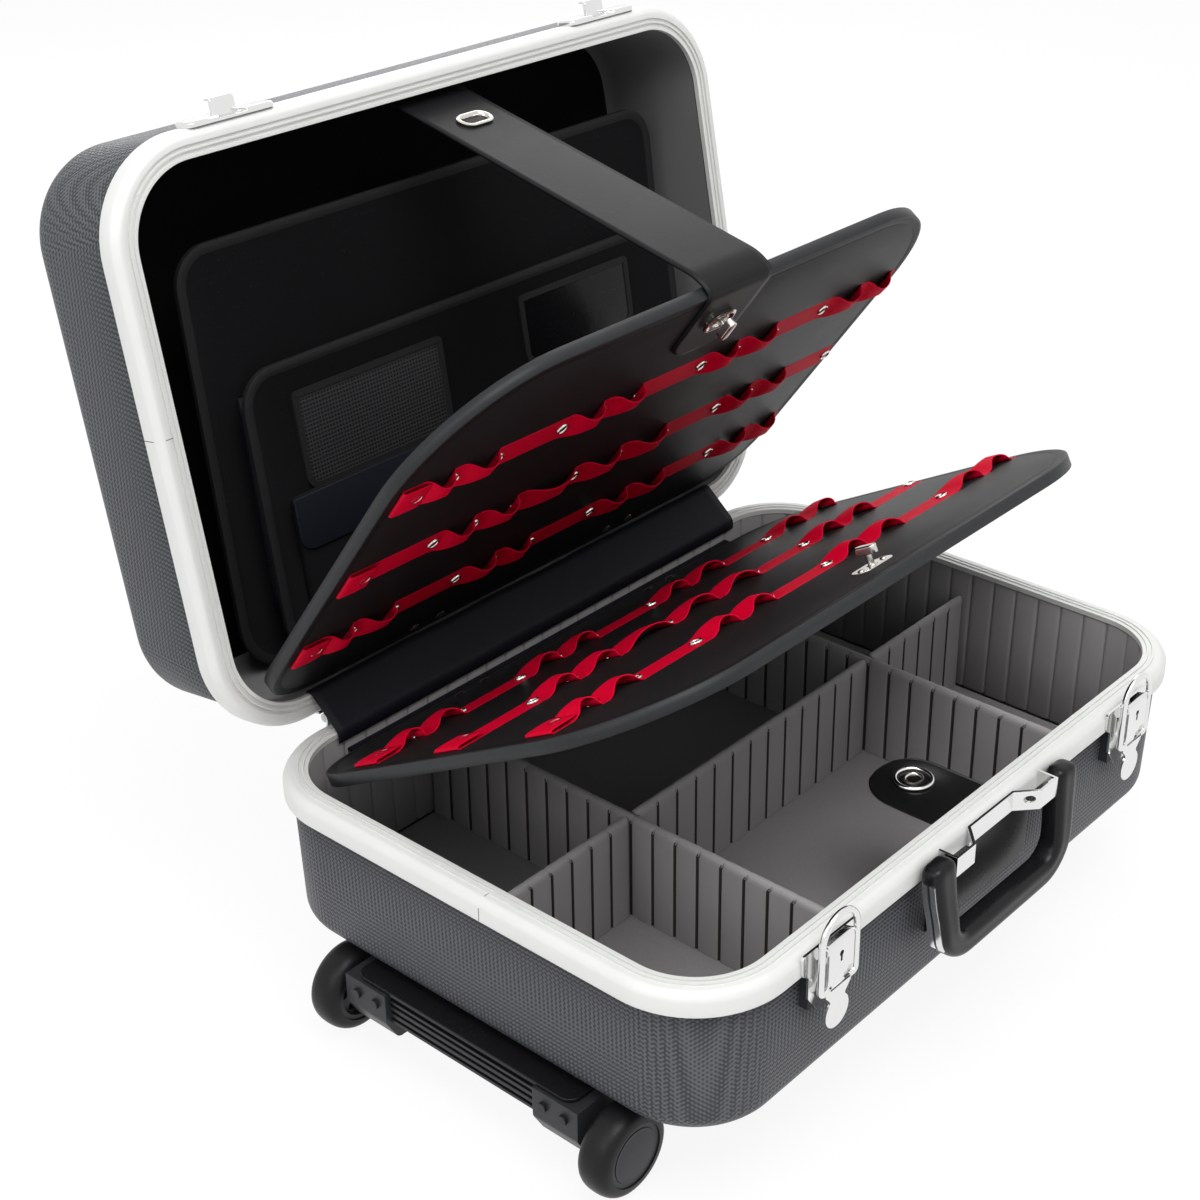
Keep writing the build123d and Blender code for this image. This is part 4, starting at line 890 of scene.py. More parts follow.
# Painted sheen: twice as light as the leatherette, for the light that the rounded welt and cut edges catch.
WELT_SHEEN = Finish(
    "board_welt_painted_sheen", "black_vinyl", (0.022, 0.023, 0.025), (0.016, 0.017, 0.018), 0.4, Relief.GRAIN, 0.9, 0.03,
    specular=0.2,
)
VINYL = Finish(
    "satin_vinyl", "satin_vinyl", (0.008, 0.008, 0.009), (0.006, 0.006, 0.007), 0.42, Relief.PLAIN, 1.0, 0.05,
    specular=0.15,
)
GLOSS_LEATHER = Finish(
    "gloss_leather", "satin_vinyl", (0.007, 0.007, 0.0075), (0.005, 0.005, 0.005), 0.22, Relief.PLAIN, 1.4, 0.04,
    specular=0.25,
)
COVER_VINYL = Finish(
    "cover_vinyl", "black_vinyl", (0.008, 0.008, 0.012), (0.005, 0.005, 0.008), 0.48, Relief.GRAIN, 1.4, 0.04,
    specular=0.12,
)
BINDING = Finish(
    "binding", "black_vinyl", (0.012, 0.012, 0.013), (0.008, 0.008, 0.009), 0.7, Relief.RIBS, 0.8, 0.08, specular=0.2
)
RED_ELASTIC = Finish(
    "red_elastic", "red_elastic", (0.62, 0.001, 0.027), (0.5, 0.0, 0.018), 0.6, Relief.RIBS, 0.55, 0.07, dust=0.0,
    specular=0.06,
)
CHROME = Finish(
    "chrome", "chrome", (0.82, 0.82, 0.81), (0.74, 0.74, 0.74), 0.12, Relief.PLAIN, 4.0, 0.004, metallic=1.0, dust=0.1
)
NICKEL = Finish(
    "nickel", "nickel", (0.72, 0.69, 0.64), (0.6, 0.58, 0.54), 0.2, Relief.PLAIN, 3.0, 0.01, metallic=1.0, dust=0.1
)
STEEL = Finish(
    "steel", "steel", (0.55, 0.55, 0.55), (0.45, 0.45, 0.45), 0.3, Relief.BRUSHED, 1.0, 0.01, metallic=1.0
)
BLACK_PLASTIC = Finish(
    "black_plastic", "black_plastic", (0.008, 0.008, 0.009), (0.006, 0.006, 0.007), 0.26, Relief.CAST, 0.7, 0.01,
    specular=0.2,
)
GREY_PLASTIC = Finish(
    "grey_plastic", "grey_plastic", (0.024, 0.025, 0.028), (0.018, 0.019, 0.021), 0.4, Relief.CAST, 0.8, 0.02,
    specular=0.25,
)
BLACK_RAIL = Finish(
    "black_rail", "black_rail", (0.016, 0.016, 0.018), (0.011, 0.011, 0.013), 0.34, Relief.BRUSHED, 1.0, 0.01,
    metallic=0.1, specular=0.3,
)
TYRE = Finish(
    "tyre", "tyre_rubber", (0.01, 0.01, 0.011), (0.007, 0.007, 0.008), 0.36, Relief.CAST, 1.0, 0.02, specular=0.18
)
TUBE_METAL = Finish(
    "tube_metal", "tube_metal", (0.62, 0.62, 0.62), (0.52, 0.52, 0.52), 0.3, Relief.BRUSHED, 1.0, 0.01, metallic=1.0
)
NET = Finish("net", "black_vinyl", (0.03, 0.03, 0.032), (0.003, 0.003, 0.004), 0.7, Relief.NET, 2.4, 0.3, specular=0.2)
CLEAR_FILM = Finish(
    "clear_film", "satin_vinyl", (0.005, 0.005, 0.006), (0.004, 0.004, 0.0045), 0.2, Relief.PLAIN, 6.0, 0.2,
    specular=0.14,
)
THREAD = Finish(
    "thread", "black_vinyl", (0.02, 0.02, 0.021), (0.013, 0.013, 0.014), 0.7, Relief.RIBS, 0.3, 0.02, specular=0.2
)
# Dark fill for joints, keyholes and small heads; inside the band rivets it is a painted reflection of dark
# surroundings.
DARK_HOLE_AND_REFLECTION = Finish(
    "dark_hole_and_painted_reflection", "black_plastic", (0.006, 0.006, 0.006), (0.004, 0.004, 0.004), 0.8, Relief.CAST, 1.0, 0.01
)


# Sub-assemblies


@dataclass
class HalfShells:
    """Moulded half shells and their extruded rims."""

    base_edge: float = 13.0
    lid_edge: float = 19.4
    mouth: float = 2.45
    corner_steps: int = 20
    joint_y: float = -18.0

    def shell_section(self, depth: float, slope: float, edge: float) -> list[Vector]:
        """Outer line of a shell's wall and crown.

        Args:
            depth: Height of the flat over the mouth.
            slope: Draft of the wall in degrees.
            edge: Radius of the crown.

        Returns:
            Points from the mouth to the flat.
        """
        s = math.radians(slope)
        cz = depth - edge
        cu = SIZES.shell_out - (edge + (cz - self.mouth) * math.sin(s)) / math.cos(s)
        wall = [Vector((SIZES.shell_out, 0, self.mouth))]
        return wall + arc(cu, cz, edge, slope, 90, 10) + [Vector((cu - 4, 0, depth))]

    def shell(self, depth: float, slope: float, edge: float) -> bmesh.types.BMesh:
        """Skin of a shell with its mouth down at Z = 0.

        Args:
            depth: Height of the flat over the mouth.
            slope: Draft of the wall in degrees.
            edge: Radius of the crown.

        Returns:
            The open skin.
        """
        bm = bmesh.new()
        places = ring_places(SIZES.length / 2, SIZES.width / 2, [SIZES.corner] * 4, self.corner_steps)
        sweep(bm, self.shell_section(depth, slope, edge), places)
        bmesh.ops.remove_doubles(bm, verts=bm.verts, dist=1e-3)
        top = [e for e in bm.edges if e.is_boundary and all(abs(v.co.z - depth) < 1e-3 for v in e.verts)]
        bmesh.ops.contextual_create(bm, geom=top)
        bmesh.ops.recalc_face_normals(bm, faces=bm.faces)
        return bm

    def rim(self, bead: float, spare: float) -> bmesh.types.BMesh:
        """Rim extrusion with its mating face up at Z = 0.

        Args:
            bead: Height of the two beads, negative for grooves.
            spare: Width added to each side of a groove.

        Returns:
            The closed extrusion.
        """
        half = 0.8 + spare
        line: list[tuple[float, float]] = [(0, -3.5), (0, -0.25), (0.25, 0)]
        for place in (3.2, 6.4):
            line += [(place - half, 0), (place - half * 0.8, bead), (place + half * 0.8, bead), (place + half, 0)]
        line += [(10.2, 0), (11.4, -0.4), (12.9, -1.6), (14.3, -3.6), (15, -5.2)]
        line += [(15, -13.4), (14.6, -14.2), (14, -14.4), (10.15, -14.4), (10.15, -2), (1.2, -2), (1.2, -3.5)]
        bm = bmesh.new()
        places = ring_places(SIZES.length / 2, SIZES.width / 2, [SIZES.corner] * 4, self.corner_steps)
        sweep(bm, [Vector((u, 0, z)) for u, z in line], places, closed_section=True)
        return bm

    def build(self) -> None:
        """Make both shells, both rims and the marks on them."""
        flip = Matrix.Scale(-1, 4, (0, 0, 1))
        base = self.shell(SIZES.base_depth, SIZES.base_slope, self.base_edge)
        make_piece(base, "base_shell_skin", CASE @ flip, MOULDED_SHELL, "base", replaces=["base_shell"], wall=3.0)
        lid = self.shell(SIZES.lid_depth, SIZES.lid_slope, self.lid_edge)
        make_piece(lid, "lid_shell_skin", LID_HALF, MOULDED_SHELL, "lid", replaces=["lid_shell"], wall=3.0)
        make_piece(self.rim(1.0, 0), "base_rim_band", CASE, ANODISED, "base", replaces=["base_rim"], crease=25)
        make_piece(
            self.rim(-1.3, 0.3), "lid_rim_band", LID_HALF @ flip, ANODISED, "lid", replaces=["lid_rim"], crease=25
        )
        self.butt_joints()
        self.lid_rivet()

    def butt_joints(self) -> None:
        """Hairline where the ends of each rim meet, with the small pin that closes it."""
        half_x = SIZES.length / 2
        for body, place, side in (("base", CASE, -1.0), ("lid", LID_HALF, 1.0)):
            bm = bmesh.new()
            for size, middle in (
                ((0.3, 0.35, 8.2), (-half_x - SIZES.band_out, self.joint_y, side * 9.2)),
                ((5.0, 0.35, 0.3), (-half_x - 8.0, self.joint_y, side * 0.05)),
            ):
                bmesh.ops.create_cube(bm, size=1.0, matrix=move(*middle) @ Matrix.Diagonal((*size, 1.0)))
            bmesh.ops.bevel(
                bm, geom=list(bm.edges), offset=0.05, affect="EDGES", segments=1, profile=0.5, material=-1
            )
            make_piece(bm, body + "_rim_joint", place, DARK_HOLE_AND_REFLECTION, body)

    def lid_rivet(self) -> None:
        """Rivet head on the lid's front side, between the catches."""
        bm = bmesh.new()
        turned(bm, [(0, 0), (2.6, 0), (2.4, -0.7), (1.2, -1.3), (0, -1.4)], 16, closed=False)
        y = -(SIZES.width / 2 + SIZES.shell_out) + 26 * math.tan(math.radians(SIZES.lid_slope))
        make_piece(bm, "lid_rivet", LID_HALF @ move(2, y + 0.1, 26), DARK_HOLE_AND_REFLECTION, "lid")


@dataclass
class Lining:
    """Ribbed pads and felt of the base, and the velour of the lid."""

    rib_pitch: float = 17.2
    groove: float = 1.5
    divider_wall: float = 7.0
    divider_top: float = -22.0
    floor_z: float = -95.1
    floor_wall: float = 4.2
    cross_places: tuple[float, float] = (-112.0, 122.0)
    long_place: float = -5.0

    @property
    def floor_top(self) -> float:
        """Z of the felt's top face."""
        return self.floor_z + self.floor_wall

    def wall_face(self, half: float, z: float) -> float:
        """Distance from the middle to the wall pads' face at height z."""
        slope = math.tan(math.radians(SIZES.base_slope))
        return half + SIZES.lining_in - (-z - 3.8) * slope - 0.3

    def rib_steps(self) -> list[tuple[float, float]]:
        """Steps of one rib: its two soft shoulders and the groove beside it.

        Returns:
            Pairs of a shift along the wall and a shift into it.
        """
        p, g = self.rib_pitch, self.groove
        rise = [(0.0, g), (0.5, 0.5 * g), (1.1, 0.25), (2.6, 0.0)]
        fall = [(p - 2.6, 0.0), (p - 1.1, 0.25), (p - 0.5, 0.5 * g)]
        return rise + [(p / 2, -0.15)] + fall

    @staticmethod
    def paint_groove_shade(bm: bmesh.types.BMesh) -> None:
        """Give the narrow, tall faces at the bottom of each groove a dark finish: painted shade in the crease.

        Args:
            bm: Mesh of a ribbed pad.
        """
        widest, lowest = 1.1, 2.0
        for face in bm.faces:
            flat = [Vector((v.co.x, v.co.y)) for v in face.verts]
            wide = max((a - b).length for a in flat for b in flat)
            tall = max(v.co.z for v in face.verts) - min(v.co.z for v in face.verts)
            if wide < widest and tall > lowest:
                face.material_index = 1

    def base_walls(self) -> None:
        """Ribbed pads round the walls of the base."""
        top, low = -3.9, self.floor_top + 0.4
        slope = math.tan(math.radians(SIZES.base_slope))
        drop = (top - low) * slope
        u = SIZES.lining_in + 0.1
        section = [
            (u + 3.2, top), (u + 1.2, top + 0.1), (u + 0.4, top - 0.4), (u, top - 1.4),
            (u - drop * 0.5, (top + low) / 2), (u - drop, low + 0.6), (u - drop + 0.6, low), (u - drop + 3.4, low),
        ]
        bm = bmesh.new()
        places = ring_places(
            SIZES.length / 2, SIZES.width / 2, [SIZES.corner] * 4, 12, self.rib_pitch, self.rib_steps()
        )
        sweep(bm, [Vector((a, 0, z)) for a, z in section], places, closed_section=True)
        self.paint_groove_shade(bm)
        pads = make_piece(
            bm, "wall_pads", CASE, GREY_PAD, "base", replaces=["base_wall_lining"], crease=60, extra=[GROOVE_SHADE]
        )

    def divider(self, start: tuple[float, float], end: tuple[float, float]) -> bmesh.types.BMesh:
        """Ribbed divider along X, about Y = 0.

        Args:
            start: X of its first end at the floor and at its top.
            end: X of its other end at the floor and at its top.

        Returns:
            The divider's mesh.
        """
        low, top, half = self.floor_top + 0.3, self.divider_top, self.divider_wall / 2
        left, right = start[1], end[1]
        count = round((right - left) / self.rib_pitch)
        pitch = (right - left) / count
        rise = [(0.0, 1.0), (0.5, 0.5), (1.1, 0.2), (2.6, 0.0)]
        fall = [(pitch - 2.6, 0.0), (pitch - 1.1, 0.2), (pitch - 0.5, 0.5)]
        bm = bmesh.new()
        section = [Vector((0, -half, low)), Vector((0, -half, top - 4.4))]
        section += [Vector((0, p.x, p.z)) for p in arc(0, top - half * 0.9, half * 0.9, 165, 15, 8)]
        section += [Vector((0, half, top - 4.4)), Vector((0, half, low))]
        places = []
        for index in range(count):
            x = left + index * pitch
            for shift, depth in rise + fall:
                squeeze = 1.0 - depth * self.groove / half
                places.append(move(x + shift, 0, 0) @ Matrix.Scale(squeeze, 4, (0, 1, 0)))
        places.append(move(right, 0, 0) @ Matrix.Scale(1.0 - self.groove / half, 4, (0, 1, 0)))
        first, last = sweep(bm, section, places, closed_section=True)
        bmesh.ops.holes_fill(bm, edges=first + last)
        self.paint_groove_shade(bm)
        for v in bm.verts:
            if v.co.z < top - 3.3:
                share = (v.co.x - left) / (right - left)
                v.co.x += (start[0] - start[1]) * (1 - share) + (end[0] - end[1]) * share
        return bm

    def dividers(self) -> None:
        """Two dividers across the case and three along it."""
        half_w, half_l = SIZES.width / 2, SIZES.length / 2
        low = self.floor_top + 0.3
        deep, high = self.wall_face(half_w, low), self.wall_face(half_w, self.divider_top)
        for index, x in enumerate(self.cross_places):
            bm = self.divider((-deep, -high), (deep, high))
            piece = make_piece(
                bm, f"cross_divider_{index + 1}", CASE @ move(x, 0, 0) @ turn_z(90), GREY_PAD, "base",
                replaces=["cross_dividers"] if index == 0 else (), crease=50, extra=[GROOVE_SHADE],
            )
        deep, high = self.wall_face(half_l, low), self.wall_face(half_l, self.divider_top)
        left, right = self.cross_places
        clear = self.divider_wall / 2 + 0.3
        spans = (
            ((-deep, -high), (left - clear, left - clear)),
            ((left + clear, left + clear), (right - clear, right - clear)),
            ((right + clear, right + clear), (deep, high)),
        )
        for index, (start, end) in enumerate(spans):
            piece = make_piece(
                self.divider(start, end), f"long_divider_{index + 1}", CASE @ move(0, self.long_place, 0), GREY_PAD,
                "base", replaces=["long_dividers"] if index == 0 else (), crease=50, extra=[GROOVE_SHADE],
            )

    def floor(self) -> None:
        """Felt floor pad."""
        narrow = SIZES.lining_in - 3.1
        bm = bmesh.new()
        corners = {(sx, sy): SIZES.corner + narrow for sx in (-1, 1) for sy in (-1, 1)}
        slab(
            bm, (SIZES.length + 2 * narrow, SIZES.width + 2 * narrow, self.floor_wall),
            (0, 0, self.floor_z + self.floor_wall / 2), corners, 0.8,
        )
        piece = make_piece(bm, "floor_felt", CASE, GREY_FELT, "base", replaces=["base_floor_pad"])

    def lid_velour(self) -> None:
        """Velour skin inside the lid, with a turned edge under the rim's lip and its back wall painted near black as
        shade.
        """
        top = SIZES.lid_depth - 3.3 - 4.4
        edge = 12.0
        s = math.radians(SIZES.lid_slope)
        start = 3.8
        cz = top - edge
        cu = SIZES.lining_in - (edge + (cz - start) * math.sin(s)) / math.cos(s)
        section = [Vector((SIZES.lining_in + 3.0, 0, start)), Vector((SIZES.lining_in, 0, start + 0.5))]
        section += arc(cu, cz, edge, SIZES.lid_slope, 90, 8) + [Vector((cu - 6, 0, top))]
        bm = bmesh.new()
        places = ring_places(SIZES.length / 2, SIZES.width / 2, [SIZES.corner] * 4, 16)
        sweep(bm, section, places)
        bmesh.ops.remove_doubles(bm, verts=bm.verts, dist=1e-3)
        rim = [e for e in bm.edges if e.is_boundary and all(abs(v.co.z - top) < 1e-3 for v in e.verts)]
        bmesh.ops.contextual_create(bm, geom=rim)
        bmesh.ops.recalc_face_normals(bm, faces=bm.faces)
        bmesh.ops.reverse_faces(bm, faces=bm.faces)
        bm.normal_update()
        # Painted shade: faces that look along Z, the lid's back wall, take the near-black finish.
        for face in bm.faces:
            if abs(face.normal.z) > 0.7:
                face.material_index = 1
        piece = make_piece(
            bm, "lid_velour_skin", LID_HALF, VELOUR, "lid", replaces=["lid_lining"], closed=False, wall=3.0, crease=50,
            extra=[LID_BACK_SHADE],
        )

    def build(self) -> None:
        """Make every lining piece."""
        self.base_walls()
        self.dividers()
        self.floor()
        self.lid_velour()


@dataclass
class HingeCover:
    """Long vinyl strip that hides the hinge inside the mouth, and the hinge itself."""

    length: float = 372.0
    y: float = 158.55
    drop: float = 6.0
    reach: float = 3.6
    wall: float = 0.8

    def build(self) -> None:
        """Make the strip with its slack between the halves, and dress the hinge leaves and pin."""
        base_to_lid = CASE.inverted() @ LID
        near, far = base_to_lid @ Vector((0, self.y, 0.3)), base_to_lid @ Vector((0, self.y, self.reach))
        path = rounded_path([(self.y, -self.drop), (self.y, 0.6), (near.y, near.z), (far.y, far.z)], 6.0)
        path = resample(path, 2.0)
        count = 62
        section = [Vector((self.length * (i / count - 0.5), 0, 0)) for i in range(count + 1)]
        bm = bmesh.new()
        sweep(bm, section, strip_places(path))
        rng = random.Random(11)
        phases = [rng.uniform(0, math.tau) for _ in range(6)]
        for v in bm.verts:
            if v.co.z > -3:
                swell = sum(math.sin(v.co.x * 0.013 * (k + 1) + p) for k, p in enumerate(phases)) / 6
                v.co.z += 0.8 * swell
        piece = make_piece(
            bm, "hinge_cover_strip", CASE, COVER_VINYL, "base", replaces=["hinge_cover"], closed=False, wall=self.wall,
            ride=False,
        )
        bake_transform(piece)
        dressed_node("lower_hinge_leaf", "base", STEEL)
        dressed_node("upper_hinge_leaf", "lid", STEEL)
        dressed_node("hinge_pin", "base", STEEL)


@dataclass
class ToolBoard:
    """One folding tool board, drawn flat with its hinge on X and its bands on the +Z face."""

    name: str
    place: Matrix
    body: str
    knob_body: str
    seed: int
    length: float = 450.0
    height: float = SIZES.board_height
    wall: float = SIZES.board_wall
    free_corner: float = 85.0
    hinge_corner: float = 45.0
    rows: tuple[float, float, float] = (61.0, 137.0, 216.0)
    band_width: float = 22.0
    band_start: float = -217.0
    band_end: float = 221.0
    side_rivets: tuple[float, ...] = (-204, -176, -143, -92, -60, -28, 28, 60, 97, 148, 184, 217)
    side_flats: tuple[int, ...] = (2, 5, 8)
    middle_rivets: tuple[float, ...] = (-203, -150, -118, -84, -34, 6, 48, 100, 133, 168, 217)
    middle_flats: tuple[int, ...] = (0, 6, 9)
    loop_height: float = 7.0
    rng: random.Random = field(init=False)

    def __post_init__(self) -> None:
        """Seed this board's irregularities."""
        self.rng = random.Random(self.seed)

    @property
    def top(self) -> float:
        """Z of the face that carries the bands."""
        return self.wall / 2

    def ring(self, inset: float, pitch: float) -> list[Matrix]:
        """Places round the board's outline.

        Args:
            inset: Distance in from the edge.
            pitch: Distance between places.

        Returns:
            The places in order.
        """
        radii = [self.hinge_corner - inset] * 2 + [self.free_corner - inset] * 2
        return [
            move(0, -self.height / 2, 0) @ p
            for p in ring_places(self.length / 2 - inset, self.height / 2 - inset, radii, 14, pitch)
        ]

    def board(self) -> None:
        """Leatherette board with a rounded welt, painted lighter as sheen on its edges, and a pressed line beside its
        seam.
        """
        bm = bmesh.new()
        hinge, free = self.hinge_corner, self.free_corner
        corners = {(1, 1): hinge, (-1, 1): hinge, (1, -1): free, (-1, -1): free}
        slab(bm, (self.length, self.height, self.wall), (0, -self.height / 2, 0), corners, 0.0, 16)
        # Side faces and the raised first ring take the lighter welt finish, which is painted sheen on the edges.
        for face in bm.faces:
            face.material_index = int(abs(face.normal.z) < 0.5)
        for sign in (1, -1):
            bm.faces.ensure_lookup_table()
            face = max(bm.faces, key=lambda f: sign * f.calc_center_median().z)
            for number, (thickness, depth) in enumerate(((1.4, 0.5), (4.6, 0.0), (0.7, -0.35), (0.7, 0.35))):
                rim = bmesh.ops.inset_region(bm, faces=[face], thickness=thickness, depth=depth, use_even_offset=True)
                for made in rim["faces"]:
                    made.material_index = int(number == 0)
        piece = make_piece(
            bm, self.name + "_leather", self.place, LEATHERETTE, self.body, replaces=[self.name], crease=80,
            closed=False, extra=[WELT_SHEEN],
        )
        roll = bmesh.new()
        reach = self.length / 2 - self.hinge_corner
        stations = [move(x, 0, 0) @ turn_z(-90) for x in (-reach, -reach / 2, 0, reach / 2, reach)]
        loft_rod(roll, self.wall / 2 + 0.2, stations, 16)
        make_piece(roll, self.name + "_roll", self.place, LEATHERETTE, self.body)

    def stitching(self) -> None:
        """Seam stitches in the pressed line, on both faces."""
        bm = bmesh.new()
        for z in (self.top + 0.15, -self.top - 0.15):
            for place in self.ring(7.4, 4.2)[:-1]:
                bmesh.ops.create_cube(
                    bm, size=1.0, matrix=place @ move(0, 0, z) @ Matrix.Diagonal((0.55, 2.7, 0.45, 1.0))
                )
        make_piece(bm, self.name + "_stitches", self.place, THREAD, self.body, crease=80)

    def band_path(self, rivets: Sequence[float], flats: Sequence[int]) -> list[Matrix]:
        """Places along one band, from its doubled end over the gathered loops.

        Args:
            rivets: X of each rivet.
            flats: Numbers of the spans that lie flat.

        Returns:
            The places, X along the band and Z off the board.
        """
        start = self.band_start
        line = [(start + 21, 2.2, 0.0, 0.0), (start + 3, 2.1, 0.0, 0.0), (start + 0.3, 1.8, 0.0, 0.0)]
        line += [(start, 1.2, 0.0, 0.0), (start + 0.6, 0.6, 0.0, 0.0), (rivets[0] - 3, 0.5, 0.0, 0.0)]
        for index, (near, far) in enumerate(zip(rivets, rivets[1:])):
            line.append((near + 3.2, 0.5, 0.0, 0.0))
            if index not in flats:
                width = far - near
                high = self.loop_height * self.rng.uniform(0.93, 1.0) * min(1.0, 42.0 / width)
                lean = self.rng.uniform(-8, 2)
                skew = self.rng.uniform(8.0, 12.0)
                begin, reach = near + 4.8 + self.rng.uniform(0, 3), width - 12.5
                for step in range(1, 14):
                    t = step / 14
                    bow = math.sin(math.pi * t) ** 0.8
                    line.append((begin + reach * t + skew * bow * t, 0.5 + high * bow, lean * bow, -1.6 * bow))
            line.append((far - 3.6, 0.5, 0.0, 0.0))
        line.append((self.band_end, 0.5, 0.0, 0.0))
        out = []
        for i, (x, z, lean, shift) in enumerate(line):
            a, b = line[max(i - 1, 0)], line[min(i + 1, len(line) - 1)]
            rise = math.degrees(math.atan2(b[1] - a[1], b[0] - a[0]))
            narrow = Matrix.Diagonal((1, 1 - 0.012 * z * z, 1, 1))
            out.append(move(x, shift, z) @ turn_y(-rise) @ turn_x(lean) @ narrow)
        return out

    def bands(self) -> None:
        """Elastic bands with their gathered loops, and the rivets between the loops: cupped nickel rings round dark
        domes that paint the polished heads' dark reflection.
        """
        strip = bmesh.new()
        heads: list[Matrix] = []
        half = self.band_width / 2
        section = [Vector((0, y, 0)) for y in (-half, -half * 0.92, -half * 0.5, 0, half * 0.5, half * 0.92, half)]
        for number, row in enumerate(self.rows):
            middle = number == 1
            rivets = self.middle_rivets if middle else self.side_rivets
            lift = move(0, -row, self.top + 0.1)
            places = self.band_path(rivets, self.middle_flats if middle else self.side_flats)
            sweep(strip, section, [lift @ p for p in places])
            heads += [move(x, -row, self.top + (2.2 if i == 0 else 0.9)) @ turn_x(90) for i, x in enumerate(rivets)]
        band = make_piece(
            strip, self.name + "_bands", self.place, RED_ELASTIC, self.body,
            replaces=[self.body.split("_")[0] + "_elastic_bands"], closed=False, wall=0.9, crease=70,
        )
        smooth = band.modifiers.new("smooth", "SUBSURF")
        smooth.levels = smooth.render_levels = 1
        # Painted reflection: the dark dome in each ring stands for the dark surroundings a polished head reflects.
        cup, dark_reflection_dome = bmesh.new(), bmesh.new()
        turned(cup, [(2.9, 0.1), (3.1, 0.8), (3.5, 1.1), (4.0, 0.8), (4.2, 0.0), (2.9, -0.1)], 16)
        turned(dark_reflection_dome, [(0, 0.75), (2.0, 0.6), (3.0, 0.2), (3.0, 0.0), (0, 0.0)], 12, closed=False)
        make_piece(stamped(cup, heads), self.name + "_band_rivets", self.place, NICKEL, self.body)
        make_piece(stamped(dark_reflection_dome, heads), self.name + "_rivet_painted_reflections", self.place, DARK_HOLE_AND_REFLECTION, self.body)

    def hinge_rivets(self) -> None:
        """Domed rivets beside the hinge edge, which stand for the plain heads."""
        bm = bmesh.new()
        for x in (-100.0, -78.0, 78.0, 100.0):
            bmesh.ops.create_uvsphere(
                bm, u_segments=20, v_segments=10, radius=1.0,
                matrix=move(x, -9.0, self.top) @ Matrix.Diagonal((3.6, 3.6, 1.6, 1.0)),
            )
        make_piece(
            bm, self.name + "_hinge_rivets", self.place, NICKEL, self.body, replaces=[self.name + "_rivets"]
        )

    def lock(self) -> None:
        """Oval lock plate with its two rivets, and the turn knob."""
        side = self.body.split("_")[0]
        dressed_node(side + "_lock_plate", self.body, NICKEL, soften=0.25)
        bm = bmesh.new()
        for x in (-10.5, 10.5):
            bmesh.ops.create_uvsphere(
                bm, u_segments=16, v_segments=8, radius=1.0,
                matrix=move(x, -SIZES.lock_place, self.top + 1.0) @ Matrix.Diagonal((2.1, 2.1, 1.0, 1.0)),
            )
        make_piece(bm, side + "_lock_rivets", self.place, NICKEL, self.body)
        dressed_node(side + "_turn_knob", self.knob_body, NICKEL, soften=0.35)

    def build(self) -> None:
        """Make the whole board."""
        self.board()
        self.stitching()
        self.bands()
        self.hinge_rivets()
        self.lock()


